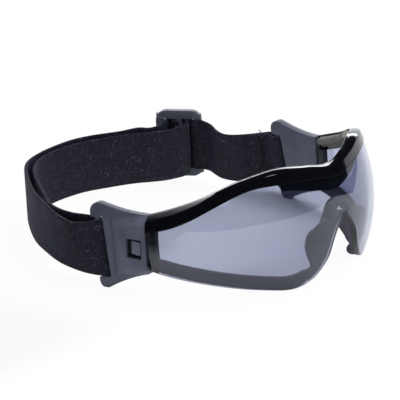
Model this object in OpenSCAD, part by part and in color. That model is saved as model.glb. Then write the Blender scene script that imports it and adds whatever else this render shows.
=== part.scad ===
// Wrap-round tactical goggles with a one-piece tinted lens and an elastic head strap.
// The goggles stand on the feet of the two strap clips and on the lower lobes of the lens.
// X runs across the face, Y from the lens to the back of the head, Z up. The symmetry plane
// of the frame is X = 0, and the centre of the lens sphere lies above the origin.

/* [Lens] */
// Outer radius of the spherical lens
lens_r = 64; // [60:0.5:70]
// Thickness of the lens
lens_t = 2.2; // [1.6:0.1:2.8]
// Half of the angle that the lens wraps round the face, seen from above
wrap = 85; // [80:0.5:86]
// Height of the centre of the lens sphere
lens_centre_z = 24.3; // [22:0.1:27]
// Height of the top of the nose arch
nose_arch_z = 30.3; // [26:0.1:33]
// Height of the lower corner of the lens at the temple
temple_bottom_z = 10.6; // [7:0.1:13]
// Half width of the nose cut-out at half its height, as an angle
nose_angle = 8; // [6:0.1:9]

/* [Top frame] */
// Height of the frame above the nose
brow_dip_z = 50.9; // [49.5:0.1:53]
// Height of the frame above each eye
brow_peak_z = 54.5; // [53.5:0.1:57]
// Height of the frame at the temple
temple_top_z = 35.9; // [34.5:0.1:37]
// Height of the glossy band above the nose
band_h = 4.2; // [3.5:0.1:5]
// Height of the glossy band at the temple
temple_band_h = 6.4; // [5.8:0.1:7]
// How far the frame stands proud of the lens
frame_proud = 0.7; // [0.5:0.1:1.2]
// Thickness of the frame's wall behind the lens
frame_back = 1.1; // [0.9:0.1:1.6]
// Fall of the bevel on top of the frame at the temple
bevel_drop = 2.8; // [2:0.1:3]
// Fall of the bevel over the eyes
bevel_least = 0.5; // [0.3:0.1:0.8]
// Angle from the front at which the comb of ribs starts
comb_start = 57; // [50:1:65]
// Pitch of the ribs of the comb
comb_pitch = 1.1; // [1:0.1:1.6]
// Height of the ribs of the comb
comb_rib = 0.4; // [0.2:0.05:0.6]

/* [Foam and rubber] */
// Thickness of the foam strips behind the top frame
foam_t = 3.4; // [2.6:0.1:5]
// Thickness of the brow pad
brow_pad_t = 4; // [3:0.1:6]
// Half of the angle that the brow pad covers
brow_pad_angle = 28; // [22:0.5:32]
// Height of the lower rubber gasket
gasket_h = 6; // [5:0.1:7]
// Thickness of the lower rubber gasket
gasket_t = 4.5; // [3:0.1:6]
// Depth of the nose pads beside the bridge of the nose
nose_pad_depth = 9; // [6:0.1:11]
// Thickness of the nose bridge at the top of its arch
bridge_t = 1.8; // [1.2:0.1:2.4]
// Gap between a glued piece and what carries it
glue_gap = 0.15; // [0.12:0.01:0.2]

/* [Clips] */
// Length of a clip along its upper edge
clip_len = 29.8; // [27:0.1:32]
// Height of a clip at the front
clip_front_h = 35.5; // [34.5:0.1:37]
// Height of a clip at the rear
clip_rear_h = 38.4; // [37.5:0.1:42]
// Thickness of a clip's base plate
clip_t = 3.4; // [3.2:0.1:4]
// How far the centre panel stands proud of the base plate
panel_t = 3; // [2.8:0.1:3.4]
// Outward flare of the clips towards the rear
clip_flare = 8.6; // [6:0.1:11]
// Inward lean of the clips towards the top
clip_lean = 3.1; // [0:0.1:5]
// Forward rake of the rear edge
clip_rake = 8.2; // [3:0.1:9]
// Radius of the upper rear corner
clip_corner_r = 4.5; // [3:0.1:5]
// Radius of the foot
foot_r = 3.2; // [2.6:0.1:4.5]
// Diameter of the bar that the strap goes round
bar_d = 2.7; // [2.4:0.1:3]
// Length of the window along the clip
window_l = 7.6; // [7.2:0.1:8]
// Height of the window
window_h = 8.6; // [8:0.1:9]
// Gap between a clip and the end of the lens
parting_gap = 0.3; // [0.2:0.05:0.4]

/* [Catches] */
// Width of a catch
catch_w = 6; // [5:0.1:6.4]
// Length of the head of a catch
catch_head_l = 5; // [4:0.1:5.4]
// Height of the head of a catch above its arm
catch_head_h = 1.2; // [1:0.05:1.4]
// Thickness of the arm of a catch
catch_arm_t = 1.2; // [1:0.05:1.3]
// Radius of the rounded root of a catch
catch_root_r = 0.7; // [0.6:0.05:0.8]
// Clearance round the tongue and the catch
catch_gap = 0.2; // [0.15:0.05:0.25]

/* [Slider] */
// Width of the three-bar slider along the strap
slider_l = 21.6; // [21:0.1:24]
// Thickness of the slider
slider_t = 3; // [2.6:0.1:3.2]
// Width of the centre bar
centre_bar_w = 3.8; // [3.6:0.1:4.2]
// Width of each side bar
side_bar_w = 3.8; // [3.6:0.1:4.2]
// Thickness of the rails above and below the slots
rail_t = 2.6; // [2.2:0.1:3.4]
// Radius of the slider's corners
slider_corner_r = 5; // [3.6:0.1:6]
// Turn of the slider from the Y direction
slider_turn = 28.5; // [27:0.1:30]

/* [Strap] */
// Width of the elastic strap
strap_w = 24.4; // [23.6:0.1:26]
// Thickness of the elastic strap
strap_t = 1.6; // [1.3:0.05:1.7]
// Height of the middle of the strap
strap_z = 17.8; // [17.4:0.1:18.4]
// Room between the strap and the ends of a slot
slot_room = 1.3; // [0.8:0.05:1.4]
// Gap between the strap and a bar that it goes round
strap_gap = 0.2; // [0.15:0.05:0.25]

/* [Hidden] */

// Inner radius of the lens, and the radii of the frame round it
lens_in_r = lens_r - lens_t;
frame_out_r = lens_r + frame_proud;
groove_gap = 0.15;
groove_out_r = lens_r + groove_gap;
groove_in_r = lens_in_r - groove_gap;
frame_in_r = groove_in_r - frame_back;
// Height of the frame above the edge of the lens in its groove
cap_h = 1.2;
// The front face of the bevel starts this far in from the frame's inner face
bevel_land = 0.6;

// Angles of the sections of the lens, closer together round the nose
fine_from = 21;
angles = concat(
    [for (i = [0:21]) -wrap + i * (wrap - fine_from) / 22],
    [for (i = [-14:14]) i * fine_from / 14],
    [for (i = [1:22]) fine_from + i * (wrap - fine_from) / 22]
);
// Angles of the sections of the top frame: one at each crest and foot of the comb
comb_steps = 2 * round(lens_r * (wrap - comb_start) * PI / 180 / comb_pitch);
comb_step = (wrap - comb_start) / comb_steps;
frame_angles = concat(
    [for (i = [0:comb_steps]) -wrap + i * comb_step],
    [for (i = [-19:19]) i * comb_start / 20],
    [for (i = [0:comb_steps]) comb_start + i * comb_step]
);

// Heights of the frame's upper edge, from the nose (0) to the temple (1)
top_line = [
    [0, brow_dip_z], [0.15, brow_dip_z + 0.53 * (brow_peak_z - brow_dip_z)], [0.35, brow_peak_z],
    [0.55, temple_top_z + 0.84 * (brow_peak_z - temple_top_z)],
    [0.8, temple_top_z + 0.34 * (brow_peak_z - temple_top_z)], [1, temple_top_z]
];
// Heights of the glossy band, from the nose to the temple
band_line = [
    [0, band_h], [0.35, band_h + 0.9], [0.5, band_h], [0.67, band_h + 1], [0.85, band_h + 3],
    [1, temple_band_h]
];
// Heights of the lower edge of the lens beyond the nose, from the nose to the temple
lobe_line = [
    [0.145, 6.9], [0.195, 2.5], [0.29, 0], [0.45, 2.2], [0.7, 6.3], [1, temple_bottom_z]
];
// Heights of the nose cut-out, as shares of the nose angle
nose_line = [[0, nose_arch_z], [0.25, 27.8], [0.7, 22], [0.93, 17.6], [1.13, 12.1]];
bottom_line = concat([for (p = nose_line) [p[0] * nose_angle / wrap, p[1]]], lobe_line);

// Slope of a list of points at point i, level at the first one
function slope(p, i) =
    i == 0 ? 0 :
    i == len(p) - 1 ? (p[i][1] - p[i - 1][1]) / (p[i][0] - p[i - 1][0]) :
    (p[i + 1][1] - p[i - 1][1]) / (p[i + 1][0] - p[i - 1][0]);
// Last point of a list that lies at or below x
function segment(p, x, i = 0) = i >= len(p) - 2 || p[i + 1][0] > x ? i : segment(p, x, i + 1);
// Smooth curve through a list of points
function curve(p, x) =
    let (i = segment(p, x), h = p[i + 1][0] - p[i][0], t = (x - p[i][0]) / h)
    (2 * t * t * t - 3 * t * t + 1) * p[i][1] + (t * t * t - 2 * t * t + t) * h * slope(p, i)
    + (3 * t * t - 2 * t * t * t) * p[i + 1][1] + (t * t * t - t * t) * h * slope(p, i + 1);

// Heights of the main edges at an angle from the front
function top_z(a) = curve(top_line, abs(a) / wrap);
function bottom_z(a) = curve(bottom_line, abs(a) / wrap);
function band_z(a) = top_z(a) - curve(band_line, abs(a) / wrap);
function bevel(a) =
    let (t = max(0, (abs(a) - comb_start) / (wrap - comb_start)))
    bevel_least + (bevel_drop - bevel_least) * t;
function lens_top_z(a) = top_z(a) - bevel(a) - cap_h;

// Point at an angle from the front, on a sphere about the lens centre, at a height
function on_sphere(a, r, z) =
    let (p = sqrt(r * r - pow(z - lens_centre_z, 2)))
    [p * sin(a), -p * cos(a), z];

// Solid swept through rings of points, all rings with the same count of points
module swept(rings) {
    m = len(rings[0]);
    last = len(rings) - 1;
    points = [for (r = rings) for (p = r) p];
    sides = [
        for (i = [0:last - 1]) for (j = [0:m - 1])
        let (k = (j + 1) % m, a = i * m, b = a + m)
        for (f = [[a + j, b + k, b + j], [a + j, a + k, b + k]]) f
    ];
    start = [for (j = [m - 1:-1:0]) j];
    end = [for (j = [0:m - 1]) last * m + j];
    polyhedron(points, concat(sides, [start, end]), convexity = 6);
}

// Ring round a wall: outer face upwards, inner face downwards
function wall_ring(a, r_out, r_in, z_low, z_high, n) = concat(
    [for (i = [0:n]) on_sphere(a, r_out, z_low + (z_high - z_low) * i / n)],
    [for (i = [n:-1:0]) on_sphere(a, r_in, z_low + (z_high - z_low) * i / n)]
);

// Ring round a soft strip: flat against its carrier, rounded towards the face
function soft_ring(a, r_out, r_in, z_low, z_high) =
    let (h = z_high - z_low, t = r_out - r_in)
    [for (q = [[0, 0.06], [0, 0.94], [0.3, 1], [0.75, 0.88], [1, 0.62], [1, 0.38], [0.75, 0.12], [0.3, 0]])
        on_sphere(a, r_out - q[0] * t, z_low + q[1] * h)];

module lens() {
    color([0.35, 0.37, 0.45, 0.6])
    swept([for (a = angles) wall_ring(a, lens_r, lens_in_r, bottom_z(a), lens_top_z(a), 10)]);
}

// Section of the top frame: glossy front, bevel, back wall and the groove that holds the lens
function frame_ring(a, rib) =
    let (
        top = top_z(a),
        low = band_z(a),
        groove = lens_top_z(a) + groove_gap,
        inner = frame_in_r + bevel_land
    ) [
        on_sphere(a, frame_out_r, low), on_sphere(a, frame_out_r, top - bevel(a)),
        on_sphere(a, (frame_out_r + inner) / 2, top - bevel(a) / 2 + rib),
        on_sphere(a, inner, top), on_sphere(a, frame_in_r, top), on_sphere(a, frame_in_r, low),
        on_sphere(a, groove_in_r, low), on_sphere(a, groove_in_r, groove),
        on_sphere(a, groove_out_r, groove), on_sphere(a, groove_out_r, low)
    ];

module top_frame() {
    color([0.05, 0.05, 0.06])
    swept([
        for (i = [0:len(frame_angles) - 1])
        let (
            a = frame_angles[i],
            in_comb = abs(a) > comb_start + comb_step / 2,
            crest = round((wrap - abs(a)) / comb_step) % 2
        )
        frame_ring(a, in_comb ? comb_rib * crest * bevel(a) / bevel_drop : 0)
    ]);
}

// The foams are glued behind the frame's back wall, their upper edges a little below its top
foam_out_r = frame_in_r - glue_gap;
brow_pad_drop = 3.5;
top_foam_drop = 0.9;
top_foam_low = 5;
top_foam_rise = 0.3;
// Lower edge of the brow pad, from its middle to its end
brow_pad_line = [[0, 38.5], [0.25, 40.6], [0.55, 43], [0.9, 44.4], [1, 46.5]];

module brow_pad() {
    color([0.12, 0.12, 0.13])
    swept([
        for (i = [-10:10])
        let (a = brow_pad_angle * sin(i * 9))
        soft_ring(
            a, foam_out_r, foam_out_r - brow_pad_t, curve(brow_pad_line, abs(i) / 10), top_z(a) - brow_pad_drop
        )
    ]);
}

// Foam strip behind the top frame on the left, from the brow pad to the temple. Its end is cut
// nearly square, with a rounded lower corner.
foam_end_gap = 0.6;
foam_temple_gap = 2;
foam_end_round = 1.3;
foam_end_drop = 0.3;

module top_foam() {
    a_near = brow_pad_angle + foam_end_gap;
    a_far = wrap - foam_temple_gap;
    color([0.42, 0.42, 0.4])
    swept([
        for (i = [0:22])
        let (
            a = a_near + (a_far - a_near) * (1 - cos(i * 180 / 22)) / 2,
            end = i == 22 ? 1 : i == 21 ? 0.35 : 0,
            low = max(top_z(a) - top_foam_low, band_z(a) + top_foam_rise),
            high = top_z(a) - top_foam_drop
        )
        soft_ring(
            a, foam_out_r, foam_out_r - foam_t, low + foam_end_round * end, high - foam_end_drop * end
        )
    ]);
}

// Angle of the nose cut-out's edge at a height, and of the outer edge of the nose pad
glued_r = lens_in_r - glue_gap;
nose_edge = [for (i = [6:-1:1]) [bottom_line[i][1], bottom_line[i][0] * wrap]];
function nose_edge_a(z) = lookup(z, nose_edge);
pad_edge = [
    [3, 20.3], [6.6, 19.4], [8.4, 16.6], [9.4, 16.2], [12.4, 17.8], [15.6, 19.2], [18.8, 19.9],
    [22.2, 19.4], [24.6, 18.1], [26.1, 15.1], [28, 11.5]
];
// Depth of the nose pads at heights, as shares of the greatest depth
pad_depths = [[3, 0.2], [9.5, 0.22], [14, 0.46], [18, 0.76], [21.5, 1], [28, 1]];
pad_low_z = 3;
pad_high_z = 28;
scallop = 0.6;
nose_pad_inset = 0.6;
nose_pad_t = 1.6;

// Rubber strip along the lower edge of the lens on the left, its upper edge slightly wavy
nose_pad_end_gap = 0.7;
gasket_end_gap = 0.4;
gasket_rise = 0.8;
gasket_bite = 0.35;
module gasket() {
    a_near = pad_edge[0][1] + nose_pad_end_gap;
    a_far = wrap - end_plate_a - gasket_end_gap;
    color([0.27, 0.27, 0.3])
    swept([
        for (i = [0:24])
        let (
            a = a_near + (a_far - a_near) * i / 24,
            low = bottom_z(a) + gasket_rise,
            bite = gasket_bite * (i % 2)
        )
        soft_ring(a, glued_r, glued_r - gasket_t, low, low + gasket_h - bite)
    ]);
}

// Rubber pad on the left side of the nose, deepest along the nose, with a scalloped outer edge
module nose_pad() {
    rows = 24;
    cols = 4;
    rings = [
        for (i = [0:rows])
        let (
            z = pad_low_z + (pad_high_z - pad_low_z) * i / rows,
            a0 = nose_edge_a(z) + nose_pad_inset,
            a1 = lookup(z, pad_edge) + scallop * abs(sin(i * 45)),
            depth = nose_pad_depth * lookup(z, pad_depths)
        )
        concat(
            [for (j = [0:cols]) on_sphere(a0 + (a1 - a0) * j / cols, glued_r, z)],
            [for (j = [cols:-1:0])
                let (t = j / cols)
                on_sphere(
                    a0 + (a1 - a0) * t,
                    glued_r - nose_pad_t - (depth - nose_pad_t) * (1 - t) * (1 - t),
                    z
                )]
        )
    ];
    color([0.25, 0.25, 0.27])
    swept([for (i = [rows:-1:0]) rings[i]]);
}

// Rubber arch that joins the two nose pads above the nose cut-out
bridge_half_w = 6.3;
bridge_rise = 5.3;
bridge_depth = 5;
bridge_leg_t = 2.9;
bridge_gap = 0.3;

module nose_bridge() {
    z0 = pad_high_z + bridge_gap;
    color([0.2, 0.2, 0.21])
    swept([
        for (i = [0:18])
        let (
            t = 180 - i * 10,
            half = (bridge_t + (bridge_leg_t - bridge_t) * abs(cos(t))) / 2,
            outer = [(bridge_half_w + half) * cos(t), z0 + (bridge_rise + half) * sin(t)],
            inner = [(bridge_half_w - half) * cos(t), z0 + (bridge_rise - half) * sin(t)]
        ) [
            on_sphere(asin(inner[0] / glued_r), glued_r, inner[1]),
            on_sphere(asin(outer[0] / glued_r), glued_r, outer[1]),
            on_sphere(asin(outer[0] / glued_r), glued_r - bridge_depth, outer[1]),
            on_sphere(asin(inner[0] / glued_r), glued_r - bridge_depth, inner[1])
        ]
    ]);
}

// Left clip's own frame: X outwards, Y to the rear, Z up, its origin at the front of its foot
clip_x = lens_r - 1.1;
clip_y = -lens_r * cos(wrap) + parting_gap + 0.2;

module on_left_clip() {
    translate([clip_x, clip_y, 0])
    rotate([0, 0, -clip_flare])
    rotate([0, -clip_lean, 0])
    children();
}

module mirrored() {
    mirror([1, 0, 0]) children();
}

// Point on the left clip's side at strap height, seen from above
function clip_point(a, c) = [
    clip_x - strap_z * sin(clip_lean) + a * sin(clip_flare) + c * cos(clip_flare),
    clip_y + a * cos(clip_flare) - c * sin(clip_flare)
];
// How far the strap leans there, for each millimetre of height
clip_slant = [
    tan(clip_rake) * sin(clip_flare) - tan(clip_lean) * cos(clip_flare),
    tan(clip_rake) * cos(clip_flare) + tan(clip_lean) * sin(clip_flare)
];

// Outline of the clip: straight front, hollowed top and bottom edges, round rear corners
clip_bottom_front_z = 9.2;
clip_foot_y = clip_len - clip_rear_h * tan(clip_rake);
clip_hollow = 0.9;
top_angle = 90 + atan((clip_rear_h - clip_front_h) / clip_len);
foot_angle = -90 - atan((clip_bottom_front_z + foot_r / 2) / clip_foot_y);

// Step from a corner to the centre of its rounding, where the edges face the directions a0 and a1
function to_centre(a0, a1, r) =
    let (u = [cos(a0), sin(a0)], v = [cos(a1), sin(a1)])
    -r * (u + v) / (1 + u * v);
// Points round a corner
function corner(p, a0, a1, r, n) = [
    for (i = [0:n])
    let (a = a0 + (a1 - a0) * i / n)
    p + to_centre(a0, a1, r) + r * [cos(a), sin(a)]
];
// Points between two points, bowed sideways by a sag
function bowed(p, q, sag, n) = [
    for (i = [1:n - 1])
    let (t = i / n)
    p + (q - p) * t + [0, 4 * sag * t * (1 - t)]
];

// The rounded foot reaches a little below the resting plane, which cuts it flat
foot_flat = 0.3;
foot_sink = foot_flat + to_centre(foot_angle, -clip_rake, foot_r)[1] - foot_r;
foot_corner = corner([clip_foot_y, -foot_sink], foot_angle, -clip_rake, foot_r, 6);
rear_corner = corner([clip_len, clip_rear_h], -clip_rake, top_angle, clip_corner_r, 6);
front_low = [0, clip_bottom_front_z];
front_high = [0, clip_front_h];
clip_outline = concat(
    [front_low],
    bowed(front_low, foot_corner[0], clip_hollow, 6),
    foot_corner,
    rear_corner,
    bowed(rear_corner[6], front_high, -clip_hollow, 8),
    [front_high]
);

// Bar for the strap, and the opening round it
bar_inset = 0.85;
bar_y = clip_foot_y + strap_z * tan(clip_rake) - bar_d / 2 - bar_inset;
bar_x = -clip_t / 2;
slot_spare = 0.5;
slot_w = strap_t + strap_gap + slot_spare;
slot_front_y = bar_y - bar_d / 2 - slot_w;
slot_h = strap_w + 2 * slot_room;

// Pocket for the tongue, and the window over the catch
tongue_z = 20.5;
tongue_h = 15.6;
tongue_end_y = 15.3;
tongue_t = 2.8;
tongue_x = -0.4;
window_y = 1.8;

// Raised centre panel of the clip: its outline on the base plate and on its own top
panel_foot = [[0, clip_bottom_front_z], [17, 5.5], [19, 33], [0, clip_front_h]];
panel_top = [[0, 11.4], [12.6, 10.6], [15.4, 29.4], [0, 31.2]];
thin = 0.01;

module clip_panel() {
    hull() {
        rotate([90, 0, 90])
        linear_extrude(thin)
        polygon(panel_foot);
        translate([panel_t - thin, 0, 0])
        rotate([90, 0, 90])
        linear_extrude(thin)
        polygon(panel_top);
    }
}

module clip() {
    pocket_t = tongue_t + 2 * catch_gap;
    pocket_h = tongue_h + 2 * catch_gap;
    color([0.24, 0.25, 0.28])
    difference() {
        on_left_clip()
        union() {
            difference() {
                union() {
                    translate([-clip_t, 0, 0])
                    rotate([90, 0, 90])
                    linear_extrude(clip_t)
                    polygon(clip_outline);
                    clip_panel();
                }
                // Opening for the strap, open to the rear
                translate([-clip_t - 1, bar_y, strap_z])
                rotate([-clip_rake, 0, 0])
                translate([0, slot_front_y - bar_y, -slot_h / 2])
                cube([clip_t + panel_t + 2, clip_len, slot_h]);
                // Pocket for the tongue
                translate([tongue_x - pocket_t / 2, -1, tongue_z - pocket_h / 2])
                cube([pocket_t, tongue_end_y + 1 + 2 * catch_gap, pocket_h]);
                // Window over the catch
                translate([tongue_x, window_y, tongue_z - window_h / 2])
                cube([panel_t + 2, window_l, window_h]);
            }
            // Bar that the strap goes round
            translate([bar_x, bar_y, strap_z])
            rotate([-clip_rake, 0, 0])
            cylinder(h = slot_h + 2, d = bar_d, center = true, $fn = 32);
        }
        // Flat foot
        translate([0, -50, -10])
        cube([100, 100, 10]);
    }
}

// End plate behind the end of the lens, with the tongue that the clip slides over
end_plate_a = 4.2;
end_plate_t = 2.9;
catch_slot_w = catch_w + 2 * catch_gap;
root_y = tongue_end_y - 1.4;
root_x = 0.3;
arm_room = 0.4;
tongue_heel_t = 1.2;

module end_plate() {
    color([0.16, 0.17, 0.19]) {
        swept([
            for (i = [0:4])
            let (a = wrap - 0.3 - end_plate_a * (4 - i) / 4)
            wall_ring(a, glued_r, glued_r - end_plate_t, bottom_z(a) + 1.2, band_z(a) - 0.2, 6)
        ]);
        on_left_clip()
        difference() {
            union() {
                translate([tongue_x - tongue_t / 2, parting_gap, tongue_z - tongue_h / 2])
                cube([tongue_t, tongue_end_y - parting_gap, tongue_h]);
                translate([tongue_x - tongue_t / 2, -tongue_heel_t, tongue_z])
                cube([tongue_heel_t, 2 * tongue_heel_t, tongue_h / 2]);
            }
            // Gap that the catch lies in
            translate([tongue_x - tongue_t, window_y - arm_room, tongue_z - catch_slot_w / 2])
            cube([2 * tongue_t, root_y - window_y + arm_room, catch_slot_w]);
            translate([root_x, root_y, tongue_z])
            cylinder(h = catch_slot_w, r = catch_root_r + 0.05, center = true, $fn = 24);
        }
    }
}

// Spring catch: a thin arm with a head that stands in the window, and a rounded root
head_room = 0.5;

module catch() {
    arm_x = root_x - catch_arm_t / 2;
    head_y = window_y + head_room;
    top_x = arm_x + catch_arm_t;
    color([0.3, 0.31, 0.34])
    on_left_clip()
    translate([0, 0, tongue_z - catch_w / 2]) {
        translate([arm_x, head_y, 0])
        cube([catch_arm_t, root_y - head_y, catch_w]);
        translate([root_x, root_y, 0])
        cylinder(h = catch_w, r = catch_root_r, $fn = 24);
        linear_extrude(catch_w)
        polygon([
            [top_x - 0.1, head_y], [top_x + catch_head_h, head_y],
            [top_x + catch_head_h / 2, head_y + catch_head_l], [top_x - 0.1, head_y + catch_head_l]
        ]);
    }
}

// Middle of the slider, and its own directions: along the strap and towards the head
slider_at = [55.7, 74.1];
slider_lift = 1.6;
slider_z = strap_z + slider_lift;
along = [sin(slider_turn), -cos(slider_turn)];
inward = [-cos(slider_turn), -sin(slider_turn)];
function on_slider(s, n) = slider_at + s * along + n * inward;
slider_slot_w = (slider_l - centre_bar_w - 2 * side_bar_w) / 2;
slider_slot_h = strap_w + 2 * slot_room;
slider_h = slider_slot_h + 2 * rail_t;

module rounded_plate(l, h, t, r) {
    rotate([90, 0, 0])
    translate([0, 0, -t / 2]) {
        translate([-l / 2 + r, -h / 2, 0]) cube([l - 2 * r, h, t]);
        translate([-l / 2, -h / 2 + r, 0]) cube([l, h - 2 * r, t]);
        for (x = [-1, 1]) for (y = [-1, 1])
        translate([x * (l / 2 - r), y * (h / 2 - r), 0])
        cylinder(h = t, r = r, $fn = 48);
    }
}

// Upright bar with round edges
module slider_bar(w) {
    for (x = [-1, 1])
    translate([x * (w - slider_t) / 2, 0, 0])
    cylinder(h = slider_slot_h + 2, d = slider_t, center = true, $fn = 32);
    if (w > slider_t)
    cube([w - slider_t, slider_t, slider_slot_h + 2], center = true);
}

module slider() {
    color([0.12, 0.13, 0.15])
    translate([slider_at[0], slider_at[1], slider_z])
    rotate([0, 0, slider_turn - 90]) {
        difference() {
            rounded_plate(slider_l, slider_h, slider_t, slider_corner_r);
            cube([slider_l - 2 * side_bar_w + slider_t, slider_t + 2, slider_slot_h], center = true);
        }
        slider_bar(centre_bar_w);
        for (x = [-1, 1])
        translate([x * (slider_l / 2 - side_bar_w / 2), 0, 0])
        slider_bar(side_bar_w);
    }
}

// Part of a circle that the strap follows round a bar, from one angle to another
function round_bar(r, a0, a1, n) = [for (i = [0:n]) r * [cos(a0 + (a1 - a0) * i / n), sin(a0 + (a1 - a0) * i / n)]];

// The strap's radius round the clip's bar, and round the bars of the slider
turn_r = bar_d / 2 + strap_gap + strap_t / 2;
loop_r = slider_t / 2 + strap_gap + strap_t / 2;
outer_r = loop_r + strap_t + 2 * strap_gap;
side_r = loop_r + strap_gap;
centre_half = (centre_bar_w - slider_t) / 2;
side_at = slider_l / 2 - side_bar_w + slider_t / 2;

// Route of the strap's middle line: [x, y, slant in x, slant in y, height above the rest of the strap]
function upright(p, lift = 0) = [p[0], p[1], 0, 0, lift];
function slider_point(s, n) = upright(on_slider(s, n), slider_lift);
function raked(p, side) = [side * p[0], p[1], side * clip_slant[0], clip_slant[1], -strap_settle];
// How far the strap has settled in the slots of the clips
strap_settle = 0.4;

// Sewn end: its tail, then round the slider's centre bar from behind
end_loop = concat(
    [for (p = [[0.6, 13.4], [2.5, 10.8], [2.9, 8.4], [2, 6.2], [-0.3, 4.4], [-2.3, 2.5]]) slider_point(p[0], p[1])],
    [for (p = round_bar(loop_r, 180, 270, 3)) slider_point(p[0] - centre_half, p[1])],
    [for (p = round_bar(loop_r, 270, 360, 3)) slider_point(p[0] + centre_half, p[1])],
    [for (p = [[4.2, 2.8], [5, 5.5], [5.1, 8.3], [4.4, 11.2]]) slider_point(p[0], p[1])]
);
return_run = [
    for (p = [[2.2, 14.4, 1], [-3.8, 18, 0.8], [-9.5, 19.4, 0.6], [-20, 21.2, 0.2]])
    upright(on_slider(p[0], p[1]), p[2] * slider_lift)
];
rear_inner = [
    for (p = [[17, 89], [8, 93.6], [-3, 96], [-13, 96.2], [-21.5, 93.9], [-28, 90], [-34, 84.5], [-43, 74]])
    upright(p)
];
right_inner = [
    [-51.5, 63.2, 0, 0, 0], [-59.3, 53, -0.03, -0.02, -0.1], [-62.4, 44.5, -0.06, -0.04, -0.1],
    [-63.1, 36, -0.05, -0.02, -0.2], [-62.4, 27.5, 0.02, 0.06, -0.2]
];
right_turn = [for (p = round_bar(turn_r, 270, 90, 6)) raked(clip_point(bar_y + p[0], bar_x + p[1]), -1)];
right_outer = [
    [-68.5, 25.5, -0.09, -0.07, -0.6], [-69.9, 32, -0.21, -0.18, -0.1], [-68.2, 40.5, -0.14, -0.1, 0.6],
    [-63.9, 50.5, -0.07, -0.05, 1.2]
];
rear_outer = [
    for (p = [
        [-54.9, 65.9, 1.2], [-42.6, 81, 0.9], [-30.6, 92.9, 0.6], [-20.9, 98.2, 0.4], [-8, 100.2, 0.4],
        [6.5, 99.4, 0.4], [17, 95.6, 0.4]
    ])
    upright(p, p[2])
];
feed_run = concat(
    [upright([29, 87.8], 0.4)],
    [
        for (p = [[-17.4, 12.2, 0.4], [-12, 13.6, 0.7], [-8.6, 13, 1]])
        upright(on_slider(p[0], p[1]), p[2] * slider_lift)
    ]
);
weave = concat(
    [for (p = [[-7, 10.4], [-6.3, 5.9], [side_r - side_at, 1.5]]) slider_point(p[0], p[1])],
    [for (p = round_bar(outer_r, 205, 237.5, 1)) slider_point(p[0] - centre_half, p[1])],
    [slider_point(0, -outer_r)],
    [for (p = round_bar(outer_r, 302.5, 335, 1)) slider_point(p[0] + centre_half, p[1])],
    [for (p = round_bar(side_r, 170, 90, 2)) slider_point(p[0] + side_at, p[1])],
    [slider_point(slider_l / 2, side_r)]
);
single_run = [
    [59.2, 58.9, -0.1, -0.12, 0.8], [57.8, 54.6, -0.18, -0.18, -0.2], [56.4, 50, -0.2, -0.2, -0.8],
    [56.4, 45.4, -0.18, -0.16, -0.9], [57.9, 40.6, -0.14, -0.1, -0.8]
];
left_outer = [[61, 35.4, -0.1, -0.02, -0.7], [64.6, 30.8, -0.06, 0.05, -0.6], [67.6, 26, -0.04, 0.1, -0.4]];
left_turn = [for (p = round_bar(turn_r, 90, 270, 6)) raked(clip_point(bar_y + p[0], bar_x + p[1]), 1)];
left_tail = [
    [63.4, 24.3, -0.04, 0.1, -0.4], [64, 27.4, -0.05, 0.08, -0.5], [62.6, 30.2, -0.06, 0.05, -0.6],
    [60.6, 32.8, -0.08, 0.02, -0.6], [59, 35, -0.1, -0.02, -0.7]
];

route = concat(
    end_loop, return_run, rear_inner, right_inner, right_turn, right_outer, rear_outer, feed_run, weave,
    single_run, left_outer, left_turn, left_tail
);

// Smooth curve through the route, with some steps between two of its points
route_steps = 2;
function route_at(i) = route[max(0, min(len(route) - 1, i))];
function smooth(i, t) =
    let (p = route_at(i - 1), q = route_at(i), r = route_at(i + 1), s = route_at(i + 2))
    q + ((r - p) * t + (2 * p - 5 * q + 4 * r - s) * t * t + (3 * q - p - 3 * r + s) * t * t * t) / 2;
path = concat(
    [for (i = [0:len(route) - 2]) for (j = [0:route_steps - 1]) smooth(i, j / route_steps)],
    [route[len(route) - 1]]
);

// Corners of the strap's section at a step of the path
function path_at(i) = path[max(0, min(len(path) - 1, i))];
function strap_ring(i) =
    let (
        p = path_at(i),
        d = path_at(i + 1) - path_at(i - 1),
        n = strap_t / 2 * [-d[1], d[0]] / norm([d[0], d[1]]),
        m = [p[0], p[1]],
        lean = strap_w / 2 * [p[2], p[3]],
        low = strap_z + p[4] - strap_w / 2,
        high = strap_z + p[4] + strap_w / 2
    ) [
        [each (m + lean - n), high], [each (m + lean + n), high],
        [each (m - lean + n), low], [each (m - lean - n), low]
    ];

// A stretch of the strap, from one list of the route to another
module stretch(first, last) {
    color([0.13, 0.13, 0.16])
    swept([for (i = [first * route_steps:last * route_steps]) strap_ring(i)]);
}

// Places in the route where one stretch of the strap meets the next: the left side also takes the
// last part of the single run, beyond its sewn tail
left_overlap = 1;
at_return = len(end_loop) - 1;
at_rear_inner = len(end_loop) + len(return_run) - 1;
at_right = at_rear_inner + len(rear_inner);
at_rear_outer = at_right + len(right_inner) + len(right_turn) + len(right_outer) + 1;
at_feed = at_rear_outer + len(rear_outer) - 1;
at_weave = at_feed + len(feed_run);
at_single = at_weave + len(weave);
at_left = at_single + len(single_run) - left_overlap;
at_end = len(route) - 1;

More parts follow.
